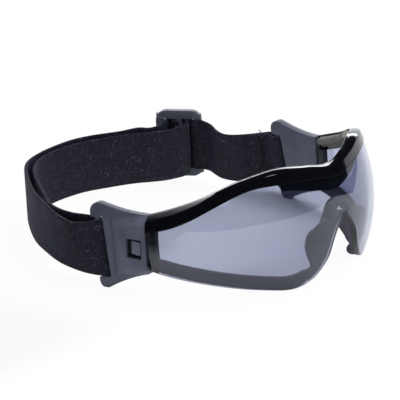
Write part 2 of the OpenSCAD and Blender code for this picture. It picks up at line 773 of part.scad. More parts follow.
lens();
top_frame();
brow_pad();
mirrored() top_foam();  // right_top_foam
top_foam();  // left_top_foam
mirrored() gasket();  // right_gasket
gasket();  // left_gasket
mirrored() nose_pad();  // right_nose_pad
nose_pad();  // left_nose_pad
nose_bridge();
mirrored() end_plate();  // right_end_plate
end_plate();  // left_end_plate
mirrored() clip();  // right_clip
clip();  // left_clip
mirrored() catch();  // right_catch
catch();  // left_catch
slider();
stretch(at_right, at_rear_outer);  // strap_right_side
stretch(at_rear_outer, at_feed);  // strap_rear_outer
stretch(at_rear_inner, at_right);  // strap_rear_inner
stretch(at_feed, at_weave);  // strap_feed
stretch(at_return, at_rear_inner);  // strap_return
stretch(at_weave, at_single);  // strap_weave
stretch(0, at_return);  // strap_end_loop
stretch(at_single, at_left);  // strap_single
stretch(at_left, at_end);  // strap_left_side
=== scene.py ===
# %% [markdown]
# # Wrap-round tactical goggles
# A lesson in dressing a imported CAD model. The solids are already right in size and place, so this
# notebook gives each piece the rounded edges, soft forms, weave and finish of the real one.
# It reads the imported frame first.

# %% Load the imported model
import math

import bmesh
import bpy
from mathutils import Matrix, Vector, noise


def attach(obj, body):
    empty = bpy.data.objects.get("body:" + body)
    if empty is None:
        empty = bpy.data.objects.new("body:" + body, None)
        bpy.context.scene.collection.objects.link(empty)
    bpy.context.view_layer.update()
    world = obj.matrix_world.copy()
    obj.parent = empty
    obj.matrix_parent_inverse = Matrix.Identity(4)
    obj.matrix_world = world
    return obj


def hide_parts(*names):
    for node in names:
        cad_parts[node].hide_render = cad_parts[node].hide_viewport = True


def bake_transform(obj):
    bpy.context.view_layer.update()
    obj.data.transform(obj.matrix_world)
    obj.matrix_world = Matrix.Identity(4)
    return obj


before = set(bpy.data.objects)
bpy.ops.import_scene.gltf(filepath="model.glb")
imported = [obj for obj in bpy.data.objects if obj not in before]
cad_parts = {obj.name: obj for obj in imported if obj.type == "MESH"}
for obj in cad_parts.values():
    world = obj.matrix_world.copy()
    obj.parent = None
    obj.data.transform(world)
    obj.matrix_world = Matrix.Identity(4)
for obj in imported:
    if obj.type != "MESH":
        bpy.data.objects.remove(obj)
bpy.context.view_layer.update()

MM = 0.001

# %% [markdown]
# ## Camera
# The photograph was taken from the wearer's right front, a little above, with a long lens. The
# direction, roll, distance and focal length were worked out from the goggles' own sizes, so the
# render lines up with the photograph. The camera is placed by its three axes, because a roll is
# easier to read there than in angles.

# %% Camera
CAMERA_AZIMUTH = math.radians(-49.98)
CAMERA_ELEVATION = math.radians(20.12)
CAMERA_ROLL = math.radians(-2.93)
CAMERA_DISTANCE = 1.24462
CAMERA_TARGET = Vector((-0.0199, 0.0002, 0.02857))
FOCAL_LENGTH = 256.97
SENSOR_WIDTH = 36

backwards = Vector((
    math.sin(CAMERA_AZIMUTH) * math.cos(CAMERA_ELEVATION),
    -math.cos(CAMERA_AZIMUTH) * math.cos(CAMERA_ELEVATION),
    math.sin(CAMERA_ELEVATION),
))
level_right = Vector((math.cos(CAMERA_AZIMUTH), math.sin(CAMERA_AZIMUTH), 0))
level_up = backwards.cross(level_right)
camera_right = level_right * math.cos(CAMERA_ROLL) + level_up * math.sin(CAMERA_ROLL)
camera_up = level_up * math.cos(CAMERA_ROLL) - level_right * math.sin(CAMERA_ROLL)

scene = bpy.context.scene
camera = bpy.data.objects.new("camera", bpy.data.cameras.new("camera"))
scene.collection.objects.link(camera)
camera.data.lens = FOCAL_LENGTH
camera.data.sensor_width = SENSOR_WIDTH
camera.matrix_world = Matrix.Translation(CAMERA_TARGET + backwards * CAMERA_DISTANCE) @ Matrix(
    (camera_right, camera_up, backwards)
).transposed().to_4x4()
scene.camera = camera
print("camera at", [round(c, 3) for c in camera.matrix_world.translation])

# %% [markdown]
# ## Helpers for materials
# Colours are written as sRGB hex values, as a paint chart gives them, and turned to the linear
# values that the renderer works in. One function adds a node of any kind. An input of the node is
# named or numbered, and is a value, a socket, or a node whose first output is meant. What the node
# feeds is given by its own output's name or number.

# %% Colour and node helpers
def linear(hex_colour):
    """An sRGB hex colour as linear RGBA."""
    channels = [int(hex_colour[i:i + 2], 16) / 255 for i in (1, 3, 5)]
    return [c / 12.92 if c <= 0.04045 else ((c + 0.055) / 1.055) ** 2.4 for c in channels] + [1]


def add_node(tree, kind, inputs=None, feeds=None, stops=(), **settings):
    """A node with its settings and links; stops are a colour ramp's (position, hex colour) pairs."""
    made = tree.nodes.new("ShaderNode" + kind)
    for name, value in settings.items():
        setattr(made, name, value)
    for name, value in (inputs or {}).items():
        if isinstance(value, bpy.types.Node):
            value = value.outputs[0]
        if isinstance(value, bpy.types.NodeSocket):
            tree.links.new(value, made.inputs[name])
        else:
            made.inputs[name].default_value = value
    for output, socket in (feeds or {}).items():
        tree.links.new(made.outputs[output], socket)
    for _ in stops[2:]:
        made.color_ramp.elements.new(0.5)
    for i, (position, hex_colour) in enumerate(stops):
        made.color_ramp.elements[i].position = position
        made.color_ramp.elements[i].color = linear(hex_colour)
    return made


def new_material(name, **shader_values):
    """A material, its node tree and its Principled shader with constant values set on its sockets."""
    material = bpy.data.materials.new(name)
    material.use_nodes = True
    tree = material.node_tree
    shader = tree.nodes["Principled BSDF"]
    for socket, value in shader_values.items():
        shader.inputs[socket.replace("_", " ")].default_value = value
    return material, tree, shader


def millimetres(tree):
    """Texture coordinates in millimetres, from the piece's own space in metres."""
    place = add_node(tree, "TexCoord")
    return add_node(tree, "VectorMath", {0: place.outputs["Object"], "Scale": 1 / MM}, operation="SCALE")


# %% [markdown]
# ## Stage
# A sheet of white paper lies under the goggles. Its near edges show on the real lens as the line
# between a bright lower half and a darker upper half, so the sheet has its real size: about 260 mm
# to the left of the goggles and 500 mm in front of them. Its left rear corner has painted shade: its
# colour fades to dark grey, and then the sheet ends, which gives the near end of the lens its soft
# dark patch. On the right it ends sooner, so that the lens stays dark beside the nose.
#
# Part of the paper's white is a glow, so that the ground stays white, and the rest is diffuse and
# keeps the shadow. Gloss and glass get less glow, because the paper that shows through the lens is
# darkened by the goggles themselves.

# %% Paper sheet
PAPER_OUTLINE = [
    (-0.26, -0.50), (0.37, -0.50), (0.2, -0.165), (0.6, -0.19), (1.4, -0.2), (1.4, 1.4), (-0.16, 1.4),
    (-0.16, -0.01), (-0.26, -0.04),
]
SHADE_FROM_X, SHADE_TO_X = -0.08, -0.12
SHADE_FROM_Y, SHADE_TO_Y = -0.026, 0.006
GLOW_FOR_CAMERA = 0.94
GLOW_FOR_LENS = 0.03

paper_mesh = bpy.data.meshes.new("paper_sheet")
paper_mesh.from_pydata([(x, y, 0) for x, y in PAPER_OUTLINE], [], [tuple(range(len(PAPER_OUTLINE)))])
paper = bpy.data.objects.new("paper_sheet", paper_mesh)
scene.collection.objects.link(paper)

paper_white, tree, shader = new_material("white_paper", Roughness=0.9)
# Painted shade: the paper's base colour fades from white to dark grey towards its left rear corner.
place = add_node(tree, "SeparateXYZ", {0: add_node(tree, "TexCoord").outputs["Object"]})
painted_shade_to_left = add_node(
    tree, "MapRange", {"Value": place.outputs["X"], "From Min": SHADE_FROM_X, "From Max": SHADE_TO_X},
    interpolation_type="SMOOTHSTEP",
)
painted_shade_to_rear = add_node(
    tree, "MapRange", {"Value": place.outputs["Y"], "From Min": SHADE_FROM_Y, "From Max": SHADE_TO_Y},
    interpolation_type="SMOOTHSTEP",
)
shade = add_node(tree, "Math", {0: painted_shade_to_left, 1: painted_shade_to_rear}, operation="MULTIPLY")
add_node(
    tree, "Mix", {"Factor": shade, 6: linear("#F6F6F6"), 7: linear("#303034")},
    {2: shader.inputs["Base Color"]}, data_type="RGBA",
)

rays = add_node(tree, "LightPath")
by_lens = add_node(
    tree, "Math", {0: rays.outputs["Is Glossy Ray"], 1: rays.outputs["Is Transmission Ray"]},
    operation="MAXIMUM",
)
lens_share = add_node(tree, "Math", {0: by_lens, 1: GLOW_FOR_LENS}, operation="MULTIPLY")
camera_share = add_node(
    tree, "Math", {0: rays.outputs["Is Camera Ray"], 1: GLOW_FOR_CAMERA}, operation="MULTIPLY",
)
share = add_node(tree, "Math", {0: lens_share, 1: camera_share}, operation="MAXIMUM")
glow = add_node(tree, "Emission", {"Color": (1, 1, 1, 1), "Strength": 1.0})
surface = tree.nodes["Material Output"].inputs["Surface"]
add_node(tree, "MixShader", {0: share, 1: shader, 2: glow}, {0: surface})
paper_mesh.materials.append(paper_white)
print("paper of", len(PAPER_OUTLINE), "corners")

# %% [markdown]
# The world stands for the studio. It lights dull surfaces as a pale grey room, and glossy ones
# mirror it as a dark room, so that the black frame stays black. Where the camera looks past the
# paper, or straight through the lens, it is white.

# %% World
world = scene.world or bpy.data.worlds.new("studio")
scene.world = world
world.use_nodes = True
tree = world.node_tree
room = tree.nodes["Background"]
room.inputs["Color"].default_value = linear("#DCE0EA")
room.inputs["Strength"].default_value = 0.5
dark_room = add_node(tree, "Background", {"Color": linear("#2A2D36"), "Strength": 1.0})
white = add_node(tree, "Background", {"Color": (1, 1, 1, 1), "Strength": 1.0})

rays = add_node(tree, "LightPath")
through = add_node(
    tree, "Math", {0: rays.outputs["Is Transmission Ray"], 1: rays.outputs["Glossy Depth"]},
    operation="SUBTRACT",
)
seen = add_node(tree, "Math", {0: rays.outputs["Is Camera Ray"], 1: through}, operation="MAXIMUM")
mirrored = add_node(
    tree, "Math", {0: rays.outputs["Is Glossy Ray"], 1: rays.outputs["Is Transmission Ray"]},
    operation="MAXIMUM",
)
glossy_or_lit = add_node(tree, "MixShader", {0: mirrored, 1: room, 2: dark_room})
surface = tree.nodes["World Output"].inputs["Surface"]
add_node(tree, "MixShader", {0: seen, 1: glossy_or_lit, 2: white}, {0: surface})
scene.view_settings.view_transform = "Standard"
print("world", world.name, "with", len(tree.nodes), "nodes")

# %% [markdown]
# ## Lamps
# A product studio's soft light: a main box in front on the right, which throws the frame's shadow on
# the paper under the lens, one overhead and a weak fill on the left. None of these three is mirrored.
# A low strip behind on the right draws the light line along the top of the frame, a small lamp
# behind picks out the ribs of its comb, and another one overhead gives its one glint over the eye.

# %% Lamps
def soft_box(name, place, aim, width, height, watts, mirrored=True):
    """A rectangular area lamp that looks at a point."""
    lamp = bpy.data.objects.new(name, bpy.data.lights.new(name, "AREA"))
    scene.collection.objects.link(lamp)
    lamp.data.shape = "RECTANGLE"
    lamp.data.size, lamp.data.size_y, lamp.data.energy = width, height, watts
    lamp.location = place
    lamp.rotation_euler = (Vector(aim) - Vector(place)).to_track_quat("-Z", "Y").to_euler()
    lamp.visible_glossy = mirrored


soft_box("rear_strip", (0.83, 0.79, 0.4), (0, 0, 0.03), 1.0, 0.2, 3.2)
soft_box("comb_lamp", (0.175, 0.99, 0.68), (0, 0, 0.03), 0.5, 0.1, 2.0)
soft_box("overhead_box", (0.35, -0.1, 1.1), (0, 0, 0.02), 0.5, 0.5, 4, mirrored=False)
soft_box("front_box", (0.3, -0.75, 0.95), (0, 0, 0.02), 0.4, 0.4, 5, mirrored=False)
soft_box("fill_box", (-0.95, -0.5, 0.5), (0, 0, 0.02), 0.5, 0.5, 3, mirrored=False)
soft_box("glint_lamp", (-0.05, -0.6, 1.07), (0, 0, 0.03), 0.14, 0.3, 2.0)
print(len(bpy.data.lights), "lamps")

# %% [markdown]
# A white curved wall on the right gives the far end of the lens its pale glare. Only reflections
# show it: it lights nothing and the camera doesn't see it.

# %% Curved wall
WALL_R, WALL_HEIGHT, WALL_STEPS = 1.3, 0.6, 48
WALL_START, WALL_END = math.radians(58), math.radians(160)
WALL_COLOUR, WALL_GLOW = (0.86, 0.89, 1, 1), 1.15

wall_points = []
for i in range(WALL_STEPS + 1):
    turn = WALL_START + (WALL_END - WALL_START) * i / WALL_STEPS
    x, y = WALL_R * math.sin(turn), -WALL_R * math.cos(turn)
    wall_points += [(x, y, 0), (x, y, WALL_HEIGHT)]
wall_mesh = bpy.data.meshes.new("curved_wall")
wall_mesh.from_pydata(wall_points, [], [(i, i + 2, i + 3, i + 1) for i in range(0, 2 * WALL_STEPS, 2)])
wall = bpy.data.objects.new("curved_wall", wall_mesh)
scene.collection.objects.link(wall)

wall_white, tree, shader = new_material("wall_white")
surface = tree.nodes["Material Output"].inputs["Surface"]
add_node(tree, "Emission", {"Color": WALL_COLOUR, "Strength": WALL_GLOW}, {0: surface})
wall_mesh.materials.append(wall_white)
for unseen in ("camera", "diffuse", "transmission", "shadow", "volume_scatter"):
    setattr(wall, "visible_" + unseen, False)
print("wall of", len(wall_mesh.polygons), "faces")

# %% [markdown]
# ## Finishes
# Each finish starts from the real material and how its surface was made.
#
# The lens is injection-moulded polycarbonate with a smoke tint: index 1.586, as smooth as glass,
# with a trace of haze from the moulding. Refraction needs a glass shader, but lamps have to shine
# through it too, so shadow rays meet a plain tinted transparency instead.

# %% Smoke polycarbonate
HAZE_MM = 20

smoke_lens, tree, shader = new_material(
    "smoke_polycarbonate", Base_Color=linear("#A5AABF"), IOR=1.586, Transmission_Weight=1.0
)
haze = add_node(tree, "TexNoise", {"Vector": millimetres(tree), "Scale": 1 / HAZE_MM, "Detail": 3.0})
add_node(
    tree, "MapRange", {"Value": haze, "From Min": 0.3, "From Max": 0.7, "To Min": 0.01, "To Max": 0.035},
    {0: shader.inputs["Roughness"]},
)
rays = add_node(tree, "LightPath")
let_through = add_node(tree, "BsdfTransparent", {"Color": linear("#AEB2C0")})
surface = tree.nodes["Material Output"].inputs["Surface"]
add_node(tree, "MixShader", {0: rays.outputs["Is Shadow Ray"], 1: shader, 2: let_through}, {0: surface})
print(smoke_lens.name, "with", len(tree.nodes), "nodes")

# %% [markdown]
# The top frame is moulded ABS from a polished tool: deep black, index 1.53, with a clean highlight.
# Handling leaves it a little duller in patches of about 4 mm, and a thin moulding is faintly wavy,
# over about 12 mm.

# %% Glossy black ABS
HANDLED_MM, WAVE_MM, WAVE_DEPTH_MM = 4, 12.5, 0.06

gloss_black, tree, shader = new_material("gloss_black_abs", Base_Color=linear("#060709"), IOR=1.53)
place = millimetres(tree)
handling = add_node(tree, "TexNoise", {"Vector": place, "Scale": 1 / HANDLED_MM, "Detail": 4.0})
add_node(
    tree, "MapRange",
    {"Value": handling, "From Min": 0.35, "From Max": 0.7, "To Min": 0.06, "To Max": 0.12},
    {0: shader.inputs["Roughness"]},
)
wave = add_node(tree, "TexNoise", {"Vector": place, "Scale": 1 / WAVE_MM, "Detail": 1.0})
add_node(tree, "Bump", {"Height": wave, "Distance": WAVE_DEPTH_MM * MM}, {0: shader.inputs["Normal"]})
print(gloss_black.name, "with", len(tree.nodes), "nodes")

# %% [markdown]
# The clips, end plates and slider are moulded nylon from a spark-eroded tool. That gives a matte
# skin with a fine grain of about 0.35 mm, slightly paler where hands rub the edges. A bevel node
# finds those edges: its normal turns away from the face's own one near them.

# %% Spark-textured nylon
GRAIN_MM, GRAIN_DEPTH_MM, CLOUD_MM, RUBBED_MM = 0.35, 0.02, 25 / 3, 0.5
ROUGHNESS_SPREAD = 0.06


def spark_nylon(name, colour, worn_colour, roughness):
    """Matte moulded nylon with spark grain and slight wear on outward edges."""
    material, tree, shader = new_material(name, IOR=1.53)
    place = millimetres(tree)
    cloud = add_node(tree, "TexNoise", {"Vector": place, "Scale": 1 / CLOUD_MM, "Detail": 5.0})
    shade = add_node(tree, "ValToRGB", {"Fac": cloud}, stops=[(0.3, colour), (0.75, worn_colour)])
    edges = add_node(tree, "Bevel", {"Radius": RUBBED_MM * MM}, samples=4)
    face = add_node(tree, "NewGeometry")
    turned = add_node(tree, "VectorMath", {0: edges, 1: face.outputs["Normal"]}, operation="DOT_PRODUCT")
    rubbed = add_node(
        tree, "MapRange",
        {"Value": turned.outputs["Value"], "From Min": 0.99, "From Max": 0.9, "To Min": 0.0, "To Max": 0.5},
    )
    add_node(
        tree, "Mix", {"Factor": rubbed, 6: shade, 7: linear(worn_colour)},
        {2: shader.inputs["Base Color"]}, data_type="RGBA",
    )
    grain = add_node(tree, "TexNoise", {"Vector": place, "Scale": 1 / GRAIN_MM, "Detail": 2.0})
    smoothest, roughest = roughness - ROUGHNESS_SPREAD, roughness + ROUGHNESS_SPREAD
    add_node(
        tree, "MapRange",
        {"Value": grain, "From Min": 0.3, "From Max": 0.7, "To Min": smoothest, "To Max": roughest},
        {0: shader.inputs["Roughness"]},
    )
    add_node(tree, "Bump", {"Height": grain, "Distance": GRAIN_DEPTH_MM * MM}, {0: shader.inputs["Normal"]})
    print(name, "with", len(tree.nodes), "nodes")
    return material


clip_nylon = spark_nylon("charcoal_nylon", "#484C58", "#5C6070", 0.5)
plate_nylon = spark_nylon("black_nylon", "#0E0F13", "#17181D", 0.5)
catch_nylon = spark_nylon("grey_nylon", "#5E626E", "#707480", 0.42)
slider_nylon = spark_nylon("slider_nylon", "#42454F", "#585C68", 0.42)

# %% [markdown]
# The pads behind the lens are closed-cell foam. Cut foam shows cells of about 0.4 mm, and the skin
# is dull with a soft sheen. The cells are drawn 0.6 mm wide, so that they show, and patches of about
# 5 mm keep them from looking even. The side strips are grey-olive and the brow pad is black.

# %% Closed-cell foam
CELL_MM, CELL_DEPTH_MM, PATCH_MM = 0.6, 0.15, 5


def closed_cell_foam(name, colour, dark_colour):
    """Foam skin: small round cells in a dull, slightly patchy colour."""
    material, tree, shader = new_material(
        name, Roughness=0.9, Sheen_Weight=0.25, Sheen_Roughness=0.5, Sheen_Tint=linear(colour)
    )
    place = millimetres(tree)
    cells = add_node(tree, "TexVoronoi", {"Vector": place, "Scale": 1 / CELL_MM})
    patches = add_node(tree, "TexNoise", {"Vector": place, "Scale": 1 / PATCH_MM, "Detail": 4.0})
    mixed = add_node(tree, "Math", {0: cells, 1: patches}, operation="MULTIPLY")
    add_node(
        tree, "ValToRGB", {"Fac": mixed}, {0: shader.inputs["Base Color"]},
        stops=[(0.05, dark_colour), (0.4, colour)],
    )
    add_node(tree, "Bump", {"Height": cells, "Distance": CELL_DEPTH_MM * MM}, {0: shader.inputs["Normal"]})
    print(name, "with", len(tree.nodes), "nodes")
    return material


side_foam = closed_cell_foam("olive_grey_foam", "#7D7D76", "#55554F")
brow_foam = closed_cell_foam("black_foam", "#121216", "#07070A")

# %% [markdown]
# The strip along the lower edge, the nose pads and their bridge are moulded thermoplastic rubber:
# matte, with a dusty bloom that makes it a little paler in patches of about 3 mm.

# %% Thermoplastic rubber
BLOOM_MM, SKIN_MM, SKIN_DEPTH_MM = 10 / 3, 0.4, 0.03


def soft_rubber(name, colour, bloom_colour):
    """Matte rubber with a faint bloom and a fine skin."""
    material, tree, shader = new_material(name, IOR=1.5)
    place = millimetres(tree)
    bloom = add_node(tree, "TexNoise", {"Vector": place, "Scale": 1 / BLOOM_MM, "Detail": 6.0})
    add_node(
        tree, "ValToRGB", {"Fac": bloom}, {0: shader.inputs["Base Color"]},
        stops=[(0.35, colour), (0.75, bloom_colour)],
    )
    add_node(
        tree, "MapRange",
        {"Value": bloom, "From Min": 0.3, "From Max": 0.7, "To Min": 0.55, "To Max": 0.75},
        {0: shader.inputs["Roughness"]},
    )
    skin = add_node(tree, "TexNoise", {"Vector": place, "Scale": 1 / SKIN_MM, "Detail": 2.0})
    add_node(tree, "Bump", {"Height": skin, "Distance": SKIN_DEPTH_MM * MM}, {0: shader.inputs["Normal"]})
    print(name, "with", len(tree.nodes), "nodes")
    return material


gasket_rubber = soft_rubber("grey_rubber", "#3E3D46", "#4E4C57")
nose_rubber = soft_rubber("dark_rubber", "#3A3A43", "#484852")

# %% [markdown]
# The strap is woven elastic: polyester picks run across rubber cords and cross in a herringbone.
# One rib is about 0.6 mm wide on the real strap; it is drawn 1.3 mm wide, so that it shows. Short
# lint fibres cling to it. The pattern follows the strap through its own UV map, in millimetres.

# %% Woven elastic
STRAP_UV = "along_strap"
RIB_MM, HERRINGBONE_MM, RIB_DEPTH_MM = 1.3, 3.2, 0.25
YARN_MM, LINT_MM = 10 / 11, 10 / 9

elastic, tree, shader = new_material(
    "woven_elastic", Roughness=0.85, Sheen_Weight=0.3, Sheen_Roughness=0.45, Sheen_Tint=linear("#4C4E6C")
)
along_strap = add_node(tree, "UVMap", uv_map=STRAP_UV)
split = add_node(tree, "SeparateXYZ", {0: along_strap})
zigzag = add_node(tree, "Math", {0: split.outputs["Y"], 1: HERRINGBONE_MM / 2}, operation="PINGPONG")
slanted = add_node(tree, "Math", {0: split.outputs["X"], 1: zigzag}, operation="ADD")
turns = add_node(tree, "Math", {0: slanted, 1: 2 * math.pi / RIB_MM}, operation="MULTIPLY")
swing = add_node(tree, "Math", {0: turns}, operation="SINE")
rib = add_node(tree, "MapRange", {"Value": swing, "From Min": -1.0, "From Max": 1.0})
yarn = add_node(tree, "TexNoise", {"Vector": along_strap, "Scale": 1 / YARN_MM, "Detail": 3.0})
woven = add_node(tree, "Math", {0: rib, 1: yarn}, operation="MULTIPLY")
threads = add_node(
    tree, "ValToRGB", {"Fac": woven}, stops=[(0.05, "#0A0B13"), (0.3, "#131421"), (0.65, "#202232")]
)
lint = add_node(
    tree, "TexNoise", {"Vector": along_strap, "Scale": 1 / LINT_MM, "Detail": 0.0, "Distortion": 2.5}
)
lint_there = add_node(
    tree, "MapRange", {"Value": lint, "From Min": 0.7, "From Max": 0.76, "To Min": 0.0, "To Max": 0.55}
)
add_node(
    tree, "Mix", {"Factor": lint_there, 6: threads, 7: linear("#6B6B7A")},
    {2: shader.inputs["Base Color"]}, data_type="RGBA",
)
add_node(tree, "Bump", {"Height": woven, "Distance": RIB_DEPTH_MM * MM}, {0: shader.inputs["Normal"]})
print(elastic.name, "with", len(tree.nodes), "nodes")

# %% [markdown]
# The seams are sewn with bonded polyester thread, a twisted yarn with a slight shine. Real thread
# is about 0.35 mm thick and is drawn 0.44 mm thick, so that it shows.

# %% Sewing thread
TWISTS_PER_MM, TWIST_DEPTH_MM = 1.6, 0.05

thread, tree, shader = new_material(
    "bonded_thread", Base_Color=linear("#1A1B24"), Roughness=0.5, Sheen_Weight=0.3
)
twist = add_node(
    tree, "TexWave", {"Vector": millimetres(tree), "Scale": TWISTS_PER_MM, "Distortion": 1.0},
    bands_direction="DIAGONAL",
)
add_node(
    tree, "Bump", {"Height": twist.outputs["Fac"], "Distance": TWIST_DEPTH_MM * MM},
    {0: shader.inputs["Normal"]},
)
print(len(bpy.data.materials), "materials")

# %% [markdown]
# ## Shape of the lens and the frame
# The lens is part of a sphere, and the frame's faces are spheres about the same centre. These are
# the CAD part's own sizes, so the dressed pieces lie where its solids do.

# %% Sizes of the lens and the frame
LENS_R, LENS_T, LENS_CENTRE_Z = 64.0, 2.2, 24.3
WRAP = 85.0
FRAME_OUT_R, FRAME_IN_R = 64.7, 60.55
GROOVE_OUT_R, GROOVE_IN_R = 64.15, 61.65
CAP_H = 1.2
BROW_DIP, BROW_PEAK, TEMPLE_TOP = 50.9, 54.5, 35.9
BEVEL_FALL, TEMPLE_BEVEL_FALL = 0.5, 2.8
COMB_START, COMB_PITCH, COMB_RIB = 57.0, 1.1, 0.4
GLUE_GAP = 0.15
print(f"lens of {LENS_R} mm radius, {LENS_T} mm thick, {WRAP} degrees to each side")

# %% [markdown]
# The edges of the lens and the frame are heights that change with the angle from the nose (0) to
# the temple (1), drawn as smooth curves through a few heights in mm. Two of the CAD part's curves
# are bent a little to the photograph: the top line sags over the eyes, and the frame's band is
# deeper at the temple.

# %% Edge curves
TOP_LINE = [
    (0, BROW_DIP), (0.15, BROW_DIP + 0.53 * (BROW_PEAK - BROW_DIP)), (0.35, BROW_PEAK),
    (0.55, TEMPLE_TOP + 0.84 * (BROW_PEAK - TEMPLE_TOP)), (0.8, TEMPLE_TOP + 0.34 * (BROW_PEAK - TEMPLE_TOP)),
    (1, TEMPLE_TOP),
]
SAG_LINE = [(0, 0.8), (0.35, 1.0), (0.5, 1.2), (0.67, 0.3), (0.8, 0), (1, 0)]
BAND_LINE = [(0, 4.2), (0.35, 5.0), (0.5, 3.9), (0.67, 5.6), (0.85, 7.7), (1, 7.6)]
NOSE_LINE = [(0, 30.3), (2, 27.8), (5.6, 22), (7.44, 17.6), (9.04, 12.1)]
LOBE_LINE = [(0.145, 6.9), (0.195, 2.5), (0.29, 0), (0.45, 2.2), (0.7, 6.3), (1, 10.6)]
BOTTOM_LINE = [(angle / WRAP, z) for angle, z in NOSE_LINE] + LOBE_LINE


def slope(points, i):
    """Slope of a list of points at point i, level at the first one."""
    if i == 0:
        return 0.0
    before, after = points[i - 1], points[min(i + 1, len(points) - 1)]
    return (after[1] - before[1]) / (after[0] - before[0])


def curve(points, x):
    """Smooth curve through a list of points."""
    i = max(k for k in range(len(points) - 1) if points[k][0] <= x or k == 0)
    (x0, y0), (x1, y1) = points[i], points[i + 1]
    h, t = x1 - x0, (x - x0) / (x1 - x0)
    return (
        (2 * t**3 - 3 * t**2 + 1) * y0 + (t**3 - 2 * t**2 + t) * h * slope(points, i)
        + (3 * t**2 - 2 * t**3) * y1 + (t**3 - t**2) * h * slope(points, i + 1)
    )


def top_z(angle):
    """Top edge of the frame."""
    return curve(TOP_LINE, abs(angle) / WRAP) - curve(SAG_LINE, abs(angle) / WRAP)


def bottom_z(angle):
    """Lower edge of the lens, nose cut-out included."""
    return curve(BOTTOM_LINE, abs(angle) / WRAP)


def band_z(angle):
    """Lower edge of the frame."""
    return top_z(angle) - curve(BAND_LINE, abs(angle) / WRAP)


def bevel(angle):
    """Fall of the bevel on top of the frame: slight over the eyes, deepest at the temple."""
    share = max(0.0, (abs(angle) - COMB_START) / (WRAP - COMB_START))
    return BEVEL_FALL + (TEMPLE_BEVEL_FALL - BEVEL_FALL) * share


def lens_top_z(angle):
    """Upper edge of the lens, inside the frame's groove."""
    return top_z(angle) - bevel(angle) - CAP_H


def on_sphere(angle, r, z):
    """Point at an angle from the nose, on a sphere about the lens centre, at a height, in mm."""
    flat_r = math.sqrt(r * r - (z - LENS_CENTRE_Z) ** 2)
    return Vector((flat_r * math.sin(math.radians(angle)), -flat_r * math.cos(math.radians(angle)), z))


def spread(start, stop, count):
    """Evenly spaced values, both ends included."""
    return [start + (stop - start) * i / (count - 1) for i in range(count)]


print("frame's top at nose, eye and temple:", [round(top_z(a), 1) for a in (0, 30, WRAP)])

# %% [markdown]
# ## Mesh helpers
# Most pieces are swept: a closed outline is placed at many stations and the outlines are joined
# with faces. Real mouldings have no razor edges, so the outline's corners are rounded first. That
# is simpler than a bevel modifier on the swept mesh, and gives each corner a radius of its own.

# %% Outlines
CORNER_POINTS = 4
CORNER_SHARE = 0.45


def outline(corners, radii, counts, lift=None):
    """Closed outline with rounded corners. counts[i] points lie between corner i and the next;
    lift {side: height} bulges that side outwards."""
    corners, points, n = [Vector(c) for c in corners], [], len(corners)
    leave = []
    for i, here in enumerate(corners):
        back, on = corners[i - 1] - here, corners[(i + 1) % n] - here
        r = min(radii[i], CORNER_SHARE * back.length, CORNER_SHARE * on.length)
        leave.append((here + back.normalized() * r, here, here + on.normalized() * r))
    for i, (a, p, b) in enumerate(leave):
        if radii[i]:
            points += [a.lerp(p, t).lerp(p.lerp(b, t), t) for t in spread(0, 1, CORNER_POINTS)]
        else:
            points.append(p)
        stop = leave[(i + 1) % n][0]
        side = stop - b
        outwards = Vector((side.y, -side.x)).normalized()
        for k in range(1, counts[i] + 1):
            t = k / (counts[i] + 1)
            rise = (lift or {}).get(i, 0) * math.sin(math.pi * t) ** 0.5
            points.append(b.lerp(stop, t) + outwards * rise)
    return points


# %% [markdown]
# A seated piece rides on the body that carries it, so that the joints move it. Most pieces take the
# place of the CAD node that they dress, so that nothing is drawn twice.

# %% Sweeps and seats
def new_piece(name, points, faces, material):
    """A mesh object from points in millimetres, its faces turned outwards."""
    mesh = bpy.data.meshes.new(name)
    mesh.from_pydata([Vector(p) * MM for p in points], [], faces)
    shape = bmesh.new()
    shape.from_mesh(mesh)
    bmesh.ops.recalc_face_normals(shape, faces=shape.faces)
    shape.to_mesh(mesh)
    shape.free()
    mesh.materials.append(material)
    for face in mesh.polygons:
        face.use_smooth = len(face.vertices) < 5
    piece = bpy.data.objects.new(name, mesh)
    scene.collection.objects.link(piece)
    return piece


def swept(name, rings, material, capped=True):
    """A piece swept through rings of points that all have the same count."""
    count, last = len(rings[0]), (len(rings) - 1) * len(rings[0])
    faces = [
        (a + j, a + (j + 1) % count, a + count + (j + 1) % count, a + count + j)
        for a in range(0, last, count) for j in range(count)
    ]
    if capped:
        faces += [tuple(range(count)), tuple(range(last, last + count))]
    return new_piece(name, [p for ring in rings for p in ring], faces, material)


def seat(piece, body, slot, *nodes):
    """Put a finished piece on its body, in place of CAD nodes; the slot is not used."""
    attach(piece, body)
    if nodes:
        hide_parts(*nodes)
    print(f"{piece.name}: {len(piece.data.polygons)} faces, on {body}")


def both_sides(side, rings):
    """Rings of a left-hand piece, or of its mirror image on the right."""
    return rings if side == "left" else [[Vector((-p[0], p[1], p[2])) for p in ring] for ring in rings]


# %% [markdown]
# ## Lens
# One piece of polycarbonate, swept round the sphere in fine steps so that reflections run smoothly.
# The lower edge is polished round; the upper edge hides in the frame's groove.

# %% Lens
LENS_EDGE_R = 0.35
LENS_STATIONS, LENS_ROWS = 261, 26

lens_rings = []
for angle in spread(-WRAP, WRAP, LENS_STATIONS):
    low, high = bottom_z(angle), lens_top_z(angle)
    edge = outline(
        [(LENS_R, low), (LENS_R, high), (LENS_R - LENS_T, high), (LENS_R - LENS_T, low)],
        [LENS_EDGE_R, 0, 0, LENS_EDGE_R], [LENS_ROWS, 1, LENS_ROWS, 1],
    )
    lens_rings.append([on_sphere(angle, r, z) for r, z in edge])
seat(swept("tinted_lens", lens_rings, smoke_lens), "frame", "tinted_lens", "lens")

# %% [markdown]
# ## Top frame
# The same sweep with the frame's own outline. Its bevel is slightly crowned, which keeps the light
# line on it thin. Near the temples the bevel carries a comb of fine ribs, 1.1 mm apart, so the
# stations there are eight to a rib and the bevel rises with a cosine. The crown fades into the comb
# over 6 degrees.

